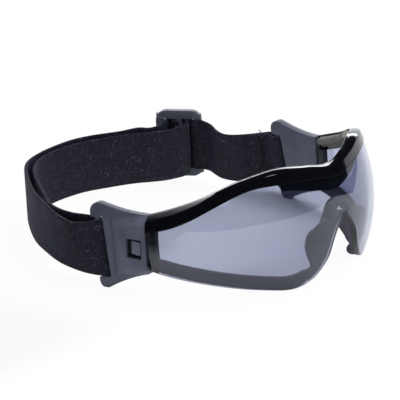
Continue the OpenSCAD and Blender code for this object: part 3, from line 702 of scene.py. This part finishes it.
# %% Top frame
BEVEL_CROWN, COMB_CROWN_SHARE, COMB_FADE = 0.3, 0.3, 6
LAND_W, GROOVE_GAP = 0.6, 0.15
FRAME_RADII = [0.05, 0.3, 0.25, 0.25, 0.2, 0, 0, 0, 0]
FRAME_POINTS = [4, 7, 0, 4, 0, 1, 1, 1, 0]
BEVEL_SIDE = 1
RIB_STATIONS, PLAIN_STATIONS = 8, 151


def frame_ring(angle):
    """Section of the frame: outer face, bevel, top land, inner face, and the groove from below."""
    top, low, land = top_z(angle), band_z(angle), FRAME_IN_R + LAND_W
    groove = lens_top_z(angle) + GROOVE_GAP
    crest = 0.5 - 0.5 * math.cos(2 * math.pi * math.radians(WRAP - abs(angle)) * LENS_R / COMB_PITCH)
    plain = 1 - min(1.0, max(0.0, (abs(angle) - COMB_START) / COMB_FADE))
    crown = BEVEL_CROWN * (COMB_CROWN_SHARE + (1 - COMB_CROWN_SHARE) * plain)
    rib = COMB_RIB * crest * bevel(angle) / TEMPLE_BEVEL_FALL * (1 - plain)
    corners = [
        (FRAME_OUT_R, low), (FRAME_OUT_R, top - bevel(angle)), (land, top), (FRAME_IN_R, top),
        (FRAME_IN_R, low), (GROOVE_IN_R, low), (GROOVE_IN_R, groove), (GROOVE_OUT_R, groove),
        (GROOVE_OUT_R, low),
    ]
    edge = outline(corners, FRAME_RADII, FRAME_POINTS, lift={BEVEL_SIDE: crown + rib})
    return [on_sphere(angle, r, z) for r, z in edge]


ribs = round(math.radians(WRAP - COMB_START) * LENS_R / COMB_PITCH)
comb_angles = spread(COMB_START, WRAP, RIB_STATIONS * ribs + 1)
plain_angles = spread(-COMB_START, COMB_START, PLAIN_STATIONS)[1:-1]
frame_rings = [frame_ring(a) for a in [-a for a in reversed(comb_angles)] + plain_angles + comb_angles]
seat(swept("glossy_frame", frame_rings, gloss_black), "frame", "glossy_black", "top_frame")

# %% [markdown]
# ## Foam pads
# Each pad is a crowned strip: flat where it is glued to the frame, rounded towards the face, with
# its ends drawn in. A coarse cage and two levels of subdivision give the soft form, as foam has no
# true corner anywhere.

# %% Soft strips
STRIP_SECTION = [
    (0, 0.03), (0, 0.5), (0, 0.97), (0.3, 1), (0.78, 0.9), (1, 0.66), (1, 0.34), (0.78, 0.1), (0.3, 0),
]


def crowned(angle, r_out, depth, low, high):
    """Section of a soft strip: flat at the back, round towards the face."""
    return [on_sphere(angle, r_out - s * depth, low + u * (high - low)) for s, u in STRIP_SECTION]


def soften(piece, levels=2):
    """Round a cage with subdivision."""
    modifier = piece.modifiers.new("soft", "SUBSURF")
    modifier.levels = modifier.render_levels = levels
    for face in piece.data.polygons:
        face.use_smooth = True
    return piece


def drawn_in(share, amount, reach):
    """How far a strip shrinks near its ends, from 0 to amount, over a reach of its length."""
    near = min(share, 1 - share) / reach
    return amount * (1 - math.sqrt(max(0.0, 1 - (1 - min(1.0, near)) ** 2)))


# %% [markdown]
# The brow pad is the thick one over the nose. Its lower edge is a curve of its own, and its
# stations lie closer together towards its ends, where it tapers.

# %% Brow pad
FOAM_OUT_R = FRAME_IN_R - GLUE_GAP
BROW_PAD_LINE = [(0, 38.5), (0.25, 40.6), (0.55, 43), (0.9, 44.4), (1, 46.5)]
BROW_PAD_ANGLE, BROW_PAD_T, BROW_PAD_DROP = 28.0, 4.0, 3.5

rings = []
for share in spread(-1, 1, 41):
    angle = BROW_PAD_ANGLE * math.sin(share * math.pi / 2)
    low, high = curve(BROW_PAD_LINE, abs(share)), top_z(angle) - BROW_PAD_DROP
    rings.append(crowned(angle, FOAM_OUT_R, BROW_PAD_T, low, high))
brow_pad = soften(swept("brow_foam_pad", rings, brow_foam))
seat(brow_pad, "frame", "black_foam", "brow_pad")

# %% [markdown]
# The side strips run on from the brow pad to the temples. They are thinner and end above the
# frame's lower edge, so that it hides them from the front. The lower corner of each far end is
# rounded.

# %% Side foam
TOP_FOAM_T, TOP_FOAM_DROP, TOP_FOAM_LOW = 3.4, 0.9, 5.0
FOAM_START, FOAM_STOP = BROW_PAD_ANGLE + 0.6, WRAP - 2
FOAM_END_R, FOAM_TOP_SHARE, FOAM_FACE_SHARE = 1.3, 0.25, 0.4
ABOVE_BAND = 0.3

for side in ("right", "left"):
    rings = []
    for share in spread(0, 0.97, 41) + spread(0.975, 1, 6):
        angle = FOAM_START + (FOAM_STOP - FOAM_START) * share
        to_end = math.radians(FOAM_STOP - angle) * FOAM_OUT_R
        into_corner = min(1.0, max(0.0, 1 - to_end / FOAM_END_R))
        corner = FOAM_END_R * (1 - math.sqrt(1 - into_corner ** 2))
        low = max(top_z(angle) - TOP_FOAM_LOW, band_z(angle) + ABOVE_BAND) + corner
        high = top_z(angle) - TOP_FOAM_DROP - FOAM_TOP_SHARE * corner
        rings.append(crowned(angle, FOAM_OUT_R, TOP_FOAM_T - FOAM_FACE_SHARE * corner, low, high))
    strip = soften(swept(f"{side}_side_foam", both_sides(side, rings), side_foam))
    seat(strip, "frame", "grey_foam", f"{side}_top_foam")

# %% [markdown]
# ## Rubber strips, nose pads and bridge
# The strip along the lower edge shows through the lens as a dark band with a slightly wavy upper
# edge, where the glue line lets it lift. The wave is a smooth noise of the angle, the same every
# time. The strip is a soft cage like the foam, with one level of subdivision, as rubber is firmer.

# %% Lower rubber strips
GLUED_R = LENS_R - LENS_T - GLUE_GAP
GASKET_H, GASKET_T, GASKET_RISE = 6.7, 4.5, 0.02
GASKET_NEAR, GASKET_FAR = 17.5, WRAP - 2.0
GASKET_TAPER, GASKET_END = 0.25, 0.03
WAVE_H, WAVE_ROOM, WAVES_PER_DEGREE = 0.35, 0.2, 0.5

for side in ("right", "left"):
    rings = []
    for share in spread(0, 1, 73):
        angle = GASKET_NEAR + (GASKET_FAR - GASKET_NEAR) * share
        low = bottom_z(angle) + GASKET_RISE
        wave = WAVE_H * noise.noise(Vector((angle * WAVES_PER_DEGREE, 0, 0)))
        high = low + GASKET_H - WAVE_ROOM + wave
        squeeze = drawn_in(share, GASKET_TAPER, GASKET_END) * GASKET_H
        rings.append(crowned(angle, GLUED_R, GASKET_T, low + squeeze, high - squeeze))
    strip = soften(swept(f"{side}_rubber_strip", both_sides(side, rings), gasket_rubber), 1)
    seat(strip, "frame", "grey_rubber", f"{side}_gasket")

# %% [markdown]
# The nose pads have a scalloped outer edge and lean in towards the nose. Each is swept upwards:
# every ring lies at one height, with one side glued to the lens and the other curving away from it,
# so the scallops are plain half waves over the height.

# %% Nose pads
PAD_EDGE = [
    (3, 20.3), (6.6, 19.4), (8.4, 16.6), (9.4, 16.2), (12.4, 17.8), (15.6, 19.2), (18.8, 19.9),
    (22.2, 19.4), (24.6, 18.1), (26.1, 15.1), (28, 11.5),
]
PAD_DEPTHS = [(3, 0.2), (9.5, 0.22), (14, 0.46), (18, 0.76), (21.5, 1), (28, 1)]
NOSE_EDGE = [(z, share * WRAP) for share, z in reversed(BOTTOM_LINE[1:7])]
PAD_LOW, PAD_HIGH, PAD_DEPTH, PAD_T = 3.0, 28.0, 9.0, 1.6
PAD_SET_BACK, PAD_LIP, PAD_TAPER, PAD_END = 0.6, 0.015, 0.7, 0.04
SCALLOP, SCALLOPS = 0.55, 13


def straight(points, x):
    """Value on the straight lines through a list of points, level beyond its ends."""
    x = min(max(x, points[0][0]), points[-1][0])
    for (x0, y0), (x1, y1) in zip(points, points[1:]):
        if x <= x1:
            return y0 + (y1 - y0) * (x - x0) / (x1 - x0)
    return points[-1][1]


def pad_ring(share):
    """Section of a nose pad at one height."""
    z = PAD_LOW + (PAD_HIGH - PAD_LOW) * share
    inner = straight(NOSE_EDGE, z) + PAD_SET_BACK
    outer = straight(PAD_EDGE, z) + SCALLOP * abs(math.sin(share * SCALLOPS * math.pi))
    depth = PAD_DEPTH * straight(PAD_DEPTHS, z)
    thin = 1 - drawn_in(share, PAD_TAPER, PAD_END)
    ring = [on_sphere(inner + (outer - inner) * t, GLUED_R, z) for t in spread(0, 1, 9)]
    for t in spread(1 - PAD_LIP, PAD_LIP, 13):
        away = (PAD_T + (depth - PAD_T) * (1 - t) ** 2) * thin
        ring.append(on_sphere(inner + (outer - inner) * t, GLUED_R - away, z))
    return ring


for side in ("right", "left"):
    rings = [pad_ring(share) for share in spread(0, 1, 8 * SCALLOPS + 1)]
    pad = swept(f"{side}_nose_rubber", both_sides(side, rings), nose_rubber)
    seat(pad, "frame", "dark_rubber", f"{side}_nose_pad")

# %% [markdown]
# A small arch joins the nose pads over the cut-out. It is swept through half a turn, and grows a
# little thicker towards its legs.

# %% Nose bridge
BRIDGE_HALF_W, BRIDGE_RISE, BRIDGE_DEPTH = 6.3, 5.3, 5.0
BRIDGE_T, BRIDGE_LEG_T, BRIDGE_LIFT = 1.8, 2.9, 0.3

bridge_edge = outline(
    [(GLUED_R, -0.5), (GLUED_R, 0.5), (GLUED_R - BRIDGE_DEPTH, 0.5), (GLUED_R - BRIDGE_DEPTH, -0.5)],
    [0.3, 0.3, 0.4, 0.4], [1, 3, 1, 3],
)
rings = []
for turn in spread(180, 0, 49):
    c, s = math.cos(math.radians(turn)), math.sin(math.radians(turn))
    thick = BRIDGE_T + (BRIDGE_LEG_T - BRIDGE_T) * abs(c)
    ring = []
    for r, u in bridge_edge:
        x = (BRIDGE_HALF_W + u * thick) * c
        z = PAD_HIGH + BRIDGE_LIFT + (BRIDGE_RISE + u * thick) * s
        ring.append(on_sphere(math.degrees(math.asin(x / GLUED_R)), r, z))
    rings.append(ring)
seat(swept("nose_arch", rings, nose_rubber), "frame", "dark_rubber", "nose_bridge")

# %% [markdown]
# ## Clips, end plates, catches and slider
# These rigid mouldings already have the right form in the CAD. Their flat triangles are merged
# back into whole faces, and every sharp edge gets the small radius that the tool left on it, which
# is what catches the light.

# %% Rounded mouldings
SAME_POINT = 1e-6
FLAT_ANGLE, SHARP_ANGLE = math.radians(1), math.radians(22)


def moulded(name, node, material, radius_mm, reshape=None):
    """A copy of a CAD node with rounded edges, reshaped first where a function is given."""
    shape = bmesh.new()
    shape.from_mesh(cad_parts[node].data)
    bmesh.ops.remove_doubles(shape, verts=shape.verts, dist=SAME_POINT)
    if reshape:
        reshape(shape)
    bmesh.ops.dissolve_limit(shape, angle_limit=FLAT_ANGLE, verts=shape.verts, edges=shape.edges)
    mesh = bpy.data.meshes.new(name)
    shape.to_mesh(mesh)
    shape.free()
    mesh.materials.append(material)
    for face in mesh.polygons:
        face.use_smooth = True
    piece = bpy.data.objects.new(name, mesh)
    scene.collection.objects.link(piece)
    rounding = piece.modifiers.new("rounding", "BEVEL")
    rounding.width = radius_mm * MM
    rounding.segments = 3
    rounding.limit_method = "ANGLE"
    rounding.angle_limit = SHARP_ANGLE
    rounding.use_clamp_overlap = True
    rounding.harden_normals = True
    return piece


def outer_side(shape):
    """1 for a piece on the left (+X), -1 for one on the right."""
    return 1 if sum(v.co.x for v in shape.verts) > 0 else -1


def cut(shape, place, normal):
    """Keep the part of a solid that lies ahead of a plane, closed again."""
    made = bmesh.ops.bisect_plane(
        shape, geom=shape.verts[:] + shape.edges[:] + shape.faces[:],
        plane_co=Vector(place) * MM, plane_no=normal, clear_inner=True,
    )
    bmesh.ops.holes_fill(shape, edges=[e for e in made["geom_cut"] if isinstance(e, bmesh.types.BMEdge)])


for side in ("right", "left"):
    clip = moulded(f"{side}_side_clip", f"{side}_clip", clip_nylon, 0.6)
    seat(clip, "frame", "matte_charcoal", f"{side}_clip")

# %% [markdown]
# The end plates show only as a narrow dark band at each end of the lens, so they are cut back to
# its width. A thin band of the same nylon backs the last few millimetres of the lens, down to its
# lower corner, so that no light shows between the lens and the clip: its black is partly painted
# shade, standing for the shadow in the gap between them.

# %% End plates and bands
END_BAND_ANGLE, END_BAND_T, END_BAND_R = 3.2, 0.9, 0.2


def trim_plate(shape):
    """Cut the plate back to the width of the dark band at the end of the lens."""
    turn = math.radians(WRAP - END_BAND_ANGLE)
    cut(shape, (0, 0, 0), (outer_side(shape) * math.cos(turn), math.sin(turn), 0))


def end_band_ring(angle):
    """Section of the band behind the end of the lens."""
    low, high = bottom_z(angle) + GASKET_RISE, band_z(angle)
    edge = outline(
        [(GLUED_R, low), (GLUED_R, high), (GLUED_R - END_BAND_T, high), (GLUED_R - END_BAND_T, low)],
        [END_BAND_R] * 4, [8, 0, 8, 0],
    )
    return [on_sphere(angle, r, z) for r, z in edge]


for side in ("right", "left"):
    plate = moulded(f"{side}_lens_plate", f"{side}_end_plate", plate_nylon, 0.25, reshape=trim_plate)
    seat(plate, "frame", "black_plastic", f"{side}_end_plate")
    # The end band's black is partly painted shade for the gap between the lens and the clip.
    rings = both_sides(side, [end_band_ring(angle) for angle in spread(WRAP - END_BAND_ANGLE, WRAP, 9)])
    seat(swept(f"{side}_end_band", rings, plate_nylon), "frame", "black_plastic")

# %% [markdown]
# Each spring catch stands in its clip's window, where the real one shows a paler head with a dark
# shadowed gap round it. The catch is made twice from the same CAD node: an arm in the black nylon,
# whose dark colour is painted shade for that gap, and the head alone in a paler nylon. The arm's own
# head is sunk a little, so that it lies inside the paler one.

# %% Spring catches
HEAD_X, HEAD_END, HEAD_CUT_X = 62.6, 2.6, 63.5
HEAD_GAP_FRONT, HEAD_GAP_REAR = 0.7, 2.0
HEAD_MIDDLE_Y, HEAD_MIDDLE_Z = -0.5, 20.5
HEAD_SINK, HEAD_SHRINK_Y, HEAD_SHRINK_Z = 0.4, 0.1, 0.08


def shorten_head(shape):
    """Set the catch's head back from the ends of the window, so that a dark gap shows round it."""
    head = [v for v in shape.verts if abs(v.co.x) / MM > HEAD_X and v.co.y / MM < HEAD_END]
    middle = (min(v.co.y for v in head) + max(v.co.y for v in head)) / 2
    for vertex in head:
        vertex.co.y += HEAD_GAP_FRONT * MM if vertex.co.y < middle else -HEAD_GAP_REAR * MM
    return head


def sunk_arm(shape):
    """The catch with its head sunk a little, to lie inside the paler head piece."""
    for vertex in shorten_head(shape):
        vertex.co.x -= outer_side(shape) * HEAD_SINK * MM
        vertex.co.z += (HEAD_MIDDLE_Z * MM - vertex.co.z) * HEAD_SHRINK_Z
        vertex.co.y += (HEAD_MIDDLE_Y * MM - vertex.co.y) * HEAD_SHRINK_Y


def head_only(shape):
    """The head of the catch, cut off its arm."""
    shorten_head(shape)
    across = outer_side(shape)
    cut(shape, (0, HEAD_END, 0), (0, -1, 0))
    cut(shape, (across * HEAD_CUT_X, 0, 0), (across, 0, 0))


for side in ("right", "left"):
    # Painted shade: the arm is drawn in the black nylon, so that the gap round the paler head reads dark.
    arm = moulded(f"{side}_catch_arm", f"{side}_catch", plate_nylon, 0.2, reshape=sunk_arm)
    seat(arm, f"{side}_catch", "catch_grey", f"{side}_catch")
    head = moulded(f"{side}_catch_head", f"{side}_catch", catch_nylon, 0.2, reshape=head_only)
    seat(head, f"{side}_catch", "catch_grey")

# %% [markdown]
# The CAD slider's slots are a little longer than the strap is wide. In the photograph the webbing
# fills them, so here the ends of the slots are drawn in towards the strap's edges.

# %% Slider
SLIDER_MIDDLE_Z, SLOT_END, SLOT_CLOSING, SLOT_REACH = 19.4, 13.5, 1.3, 0.3


def close_slots(shape):
    """Bring the ends of the slider's slots up to the strap's edges."""
    for vertex in shape.verts:
        past = vertex.co.z / MM - SLIDER_MIDDLE_Z
        if abs(abs(past) - SLOT_END) < SLOT_REACH:
            vertex.co.z -= math.copysign(SLOT_CLOSING, past) * MM


slider = moulded("three_bar_slider", "slider", slider_nylon, 0.5, reshape=close_slots)
seat(slider, "slider", "slider_black", "slider")

# %% [markdown]
# ## Strap
# The strap is one continuous elastic band, so one route in millimetres describes it: the sewn end
# round the slider's centre bar, the inner run behind the head, round the right clip's bar, the
# outer run back, through the slider, and on to the left clip. A smooth curve runs through the
# route's points, and its stretches become pieces where the strap deforms or changes body.

# %% Sizes of the strap, slider and clips
STRAP_W, STRAP_T, STRAP_Z = 24.4, 1.6, 17.8
STRAP_GAP, STRAP_SETTLE = 0.2, 0.4
SLIDER_AT, SLIDER_TURN, SLIDER_LIFT = Vector((55.7, 74.1)), math.radians(28.5), 1.6
SLIDER_L, SLIDER_T, CENTRE_BAR_W, SIDE_BAR_W = 21.6, 3.0, 3.8, 3.8
BAR_D, BAR_INSET = 2.7, 0.85
CLIP_X, CLIP_Y = LENS_R - 1.1, -LENS_R * math.cos(math.radians(WRAP)) + 0.5
CLIP_FLARE, CLIP_LEAN, CLIP_RAKE = math.radians(8.6), math.radians(3.1), math.radians(8.2)
CLIP_LEN, CLIP_REAR_H, CLIP_T = 29.8, 38.4, 3.4

along = Vector((math.sin(SLIDER_TURN), -math.cos(SLIDER_TURN)))
inward = Vector((-math.cos(SLIDER_TURN), -math.sin(SLIDER_TURN)))
bar_y = CLIP_LEN - (CLIP_REAR_H - STRAP_Z) * math.tan(CLIP_RAKE) - BAR_D / 2 - BAR_INSET
clip_slant = (
    math.tan(CLIP_RAKE) * math.sin(CLIP_FLARE) - math.tan(CLIP_LEAN) * math.cos(CLIP_FLARE),
    math.tan(CLIP_RAKE) * math.cos(CLIP_FLARE) + math.tan(CLIP_LEAN) * math.sin(CLIP_FLARE),
)
turn_r = BAR_D / 2 + STRAP_GAP + STRAP_T / 2
loop_r = SLIDER_T / 2 + STRAP_GAP + STRAP_T / 2
side_r, outer_r = loop_r + STRAP_GAP, loop_r + STRAP_T + 2 * STRAP_GAP
centre_half, side_at = (CENTRE_BAR_W - SLIDER_T) / 2, SLIDER_L / 2 - SIDE_BAR_W + SLIDER_T / 2
print("clip's bar", round(bar_y, 2), "mm behind its front, strap turns at", round(turn_r, 2), "mm")

# %% [markdown]
# A route point is x, y, the lean of the band's section in x and y, and the band's rise. At the
# slider and round the clips' bars the points follow those pieces. Elsewhere they were set to
# the photograph.

# %% Route of the strap
def at_slider(s, n, rise=1.0):
    """Route point in the slider's own directions: along the strap and towards the head."""
    x, y = SLIDER_AT + s * along + n * inward
    return (x, y, 0, 0, rise * SLIDER_LIFT)


def level(x, y, rise=0.0):
    """Route point where the band stands upright."""
    return (x, y, 0, 0, rise)


def round_bar(r, start, stop, steps, s=0.0):
    """Points round a bar, each as (along, towards the head)."""
    turns = [math.radians(start + (stop - start) * i / steps) for i in range(steps + 1)]
    return [(s + r * math.cos(t), r * math.sin(t)) for t in turns]


def at_clip(point, side):
    """Route point round a clip's bar."""
    a, c = bar_y + point[0], -CLIP_T / 2 + point[1]
    x = CLIP_X - STRAP_Z * math.sin(CLIP_LEAN) + a * math.sin(CLIP_FLARE) + c * math.cos(CLIP_FLARE)
    y = CLIP_Y + a * math.cos(CLIP_FLARE) - c * math.sin(CLIP_FLARE)
    return (side * x, y, side * clip_slant[0], clip_slant[1], -STRAP_SETTLE)


stretches = {
    "end_loop": [at_slider(*p) for p in [
        (0.6, 13.4), (2.5, 10.8), (2.9, 8.4), (2, 6.2), (-0.3, 4.4), (-2.3, 2.5),
        *round_bar(loop_r, 180, 270, 3, -centre_half), *round_bar(loop_r, 270, 360, 3, centre_half),
        (4.2, 2.8), (5, 5.5), (5.1, 8.3), (4.4, 11.2),
    ]],
    "return_run": [at_slider(*p) for p in [
        (2.2, 14.4, 1), (-3.8, 18, 0.8), (-9.5, 19.4, 0.6), (-20, 21.2, 0.2),
    ]],
    "rear_inner": [level(*p) for p in [
        (17, 89), (8, 93.6), (-3, 96), (-13, 96.2), (-21.5, 93.9), (-28, 90), (-34, 84.5), (-43, 74),
    ]],
    "right_side": [
        (-51.5, 63.2, 0, 0, 0), (-59.3, 53, -0.03, -0.02, -0.1), (-62.4, 44.5, -0.06, -0.04, -0.1),
        (-63.1, 36, -0.05, -0.02, -0.2), (-62.4, 27.5, 0.02, 0.06, -0.2),
        *[at_clip(p, -1) for p in round_bar(turn_r, 270, 90, 6)],
        (-68.5, 25.5, -0.09, -0.07, -0.6), (-69.9, 32, -0.21, -0.18, -0.1),
        (-68.2, 40.5, -0.14, -0.1, 0.6), (-63.9, 50.5, -0.07, -0.05, 1.2),
    ],
    "rear_outer": [level(*p) for p in [
        (-54.9, 65.9, 1.2), (-42.6, 81, 0.9), (-30.6, 92.9, 0.6), (-20.9, 98.2, 0.4), (-8, 100.2, 0.4),
        (6.5, 99.4, 0.4), (17, 95.6, 0.4),
    ]],
    "feed_run": [
        level(29, 87.8, 0.4), at_slider(-17.4, 12.2, 0.4), at_slider(-12, 13.6, 0.7), at_slider(-8.6, 13, 1),
    ],
    "weave": [at_slider(*p) for p in [
        (-7, 10.4), (-6.3, 5.9), (side_r - side_at, 1.5),
        *round_bar(outer_r, 205, 237.5, 1, -centre_half), (0, -outer_r),
        *round_bar(outer_r, 302.5, 335, 1, centre_half), *round_bar(side_r, 170, 90, 2, side_at),
        (SLIDER_L / 2, side_r),
    ]],
    "single_run": [
        (59.2, 58.9, -0.1, -0.12, 0.8), (57.8, 54.6, -0.18, -0.18, -0.2), (56.4, 50, -0.2, -0.2, -0.8),
        (56.4, 45.4, -0.18, -0.16, -0.9), (57.9, 40.6, -0.14, -0.1, -0.8),
    ],
    "left_side": [
        (61, 35.4, -0.1, -0.02, -0.7), (64.6, 30.8, -0.06, 0.05, -0.6), (67.6, 26, -0.04, 0.1, -0.4),
        *[at_clip(p, 1) for p in round_bar(turn_r, 90, 270, 6)],
        (63.4, 24.3, -0.04, 0.1, -0.4), (64, 27.4, -0.05, 0.08, -0.5), (62.6, 30.2, -0.06, 0.05, -0.6),
        (60.6, 32.8, -0.08, 0.02, -0.6), (59, 35, -0.1, -0.02, -0.7),
    ],
}
route, first = [], {}
for name, stretch in stretches.items():
    first[name] = len(route)
    route += stretch
print("route of", len(route), "points, starting at", first)

# %% [markdown]
# The smooth curve takes eight steps from point to point. The strap's section is a flat band with
# rounded edges. Each step also keeps its distance along the strap, which the weave needs.

# %% Path and section of the strap
STEPS = 8
STRAP_EDGE_R, STRAP_ROWS = 0.7, 14


def on_route(i, t):
    """Smooth point on the route, t of the way from point i to the next."""
    p, q, r, s = (route[min(max(k, 0), len(route) - 1)] for k in (i - 1, i, i + 1, i + 2))
    return [
        b + ((c - a) * t + (2 * a - 5 * b + 4 * c - d) * t**2 + (3 * b - a - 3 * c + d) * t**3) / 2
        for a, b, c, d in zip(p, q, r, s)
    ]


path = [on_route(i, j / STEPS) for i in range(len(route) - 1) for j in range(STEPS)] + [list(route[-1])]
travel = [0.0]
for here, there in zip(path, path[1:]):
    travel.append(travel[-1] + math.dist(here[:2], there[:2]))

half_t, half_w = STRAP_T / 2, STRAP_W / 2
BAND = outline(
    [(half_t, -half_w), (half_t, half_w), (-half_t, half_w), (-half_t, -half_w)],
    [STRAP_EDGE_R] * 4, [STRAP_ROWS, 0, STRAP_ROWS, 0],
)


def on_strap(i, u, v):
    """Point at a step of the path, u mm across the strap's thickness and v mm up its width."""
    x, y, lean_x, lean_y, rise = path[i]
    before, after = path[max(i - 1, 0)], path[min(i + 1, len(path) - 1)]
    ahead = Vector((after[0] - before[0], after[1] - before[1])).normalized()
    return Vector((x - u * ahead.y + v * lean_x, y + u * ahead.x + v * lean_y, STRAP_Z + rise + v))


print("strap of", round(travel[-1]), "mm in", len(path), "steps")

# %% [markdown]
# Rigid stretches ride on one body. Where the strap stretches or gives way between two bodies, the
# piece is left where it is built, on no body.

# %% Strap pieces
INNER_FACE_SHIFT = 40


def strap_piece(name, start, stop):
    """A stretch of the strap from one route point to another, with its weave's UV map."""
    steps = range(start * STEPS, stop * STEPS + 1)
    piece = swept(name, [[on_strap(i, u, v) for u, v in BAND] for i in steps], elastic, capped=False)
    uv = piece.data.uv_layers.new(name=STRAP_UV)
    for loop in piece.data.loops:
        step, point = divmod(loop.vertex_index, len(BAND))
        across, up = BAND[point]
        uv.data[loop.index].uv = (travel[steps[step]], up if across > 0 else up + INNER_FACE_SHIFT)
    return piece


def blended(piece, body_a, body_b, start, end, *nodes):
    """A strap piece left where it is built, with its CAD nodes hidden; the bodies, start and end are not
    used.
    """
    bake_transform(piece)
    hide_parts(*nodes)
    print(f"{piece.name}: stretches from {body_a} to {body_b}")


end_of_loop = first["return_run"] - 1
inner_start = first["rear_inner"] - 1
right_start = first["right_side"] - 1
outer_start = first["rear_outer"]
feed_start = first["feed_run"] - 1
weave_start = first["weave"] - 1
single_start = first["single_run"] - 1
left_start = first["left_side"] - 2
LEFT_STRETCH = (65.3, 22.5, 18), (57.6, 42.4, 18)

seat(strap_piece("inner_band", inner_start, right_start), "strap_rear", "elastic_webbing", "strap_rear_inner")
seat(strap_piece("outer_band", outer_start, feed_start), "strap_rear", "elastic_webbing", "strap_rear_outer")
seat(strap_piece("weave_band", weave_start, single_start), "slider", "elastic_webbing", "strap_weave")
seat(strap_piece("end_loop_band", 0, end_of_loop), "slider", "elastic_webbing", "strap_end_loop")
blended(strap_piece("right_side_band", right_start, outer_start), "frame", "strap_rear",
        (-62, 24, 18), (-49.6, 63.4, 18), "strap_right_side")
blended(strap_piece("feed_band", feed_start, weave_start), "strap_rear", "slider",
        (17, 95.6, 18), (40.2, 75.5, 18), "strap_feed")
blended(strap_piece("return_band", end_of_loop, inner_start), "strap_rear", "slider",
        (27.5, 81.6, 18), (45.3, 68.8, 18), "strap_return")
blended(strap_piece("single_band", single_start, left_start), "strap_rear", "slider",
        (56.8, 48, 18), (58.5, 62.9, 18), "strap_single")
blended(strap_piece("left_side_band", left_start, len(route) - 1), "frame", "strap_rear",
        *LEFT_STRETCH, "strap_left_side")

# %% [markdown]
# Each end of the strap is folded back and sewn through both layers with a bar tack, a dense zigzag
# of thread right across the band. A fine tube follows the zigzag on the outside of each layer, and
# the left one leaves a short tail of thread above the strap's edge.

# %% Bar tacks
THREAD_R, THREAD_SIDES, THREAD_LIFT = 0.22, 6, 0.1
TACK_L, TACK_PITCH, TACK_MARGIN = 1.8, 0.9, 0.9
LOOSE_THREAD = [(0, 0, 1.0), (-0.3, 0.4, 2.2), (-0.9, 1.1, 3.2)]
OFF_AXIS = Vector((0.3, 0.2, 1))


def tube(name, points):
    """A thread through a list of points, in mm."""
    rings = []
    for i, here in enumerate(points):
        ahead = (points[min(i + 1, len(points) - 1)] - points[max(i - 1, 0)]).normalized()
        across = ahead.cross(OFF_AXIS).normalized()
        other = ahead.cross(across)
        turns = [2 * math.pi * k / THREAD_SIDES for k in range(THREAD_SIDES)]
        rings.append([here + THREAD_R * (math.cos(t) * across + math.sin(t) * other) for t in turns])
    return swept(name, rings, thread)


def bar_tack(name, station, loose=()):
    """Zigzag across the strap near a step of the path, with a loose thread from its last point."""
    points, count = [], int((STRAP_W - 2 * TACK_MARGIN) / TACK_PITCH)
    for k in range(2 * count + 1):
        ahead = (k % 2 - 0.5) * TACK_L
        i = station
        while abs(travel[i] - travel[station]) < abs(ahead):
            i += 1 if ahead > 0 else -1
        points.append(on_strap(i, half_t + THREAD_LIFT, -half_w + TACK_MARGIN + k * TACK_PITCH / 2))
    points += [points[-1] + Vector(step) for step in loose]
    return tube(name, points)


inner_tack = (len(route) - 3) * STEPS
outer_tack = next(i for i in range(left_start * STEPS, len(path)) if path[i][1] < path[inner_tack][1])
blended(bar_tack("left_inner_tack", inner_tack, LOOSE_THREAD), "frame", "strap_rear", *LEFT_STRETCH)
blended(bar_tack("left_outer_tack", outer_tack), "frame", "strap_rear", *LEFT_STRETCH)
seat(bar_tack("loop_inner_tack", STEPS), "slider", "elastic_webbing")
seat(bar_tack("loop_outer_tack", (end_of_loop - 1) * STEPS), "slider", "elastic_webbing")
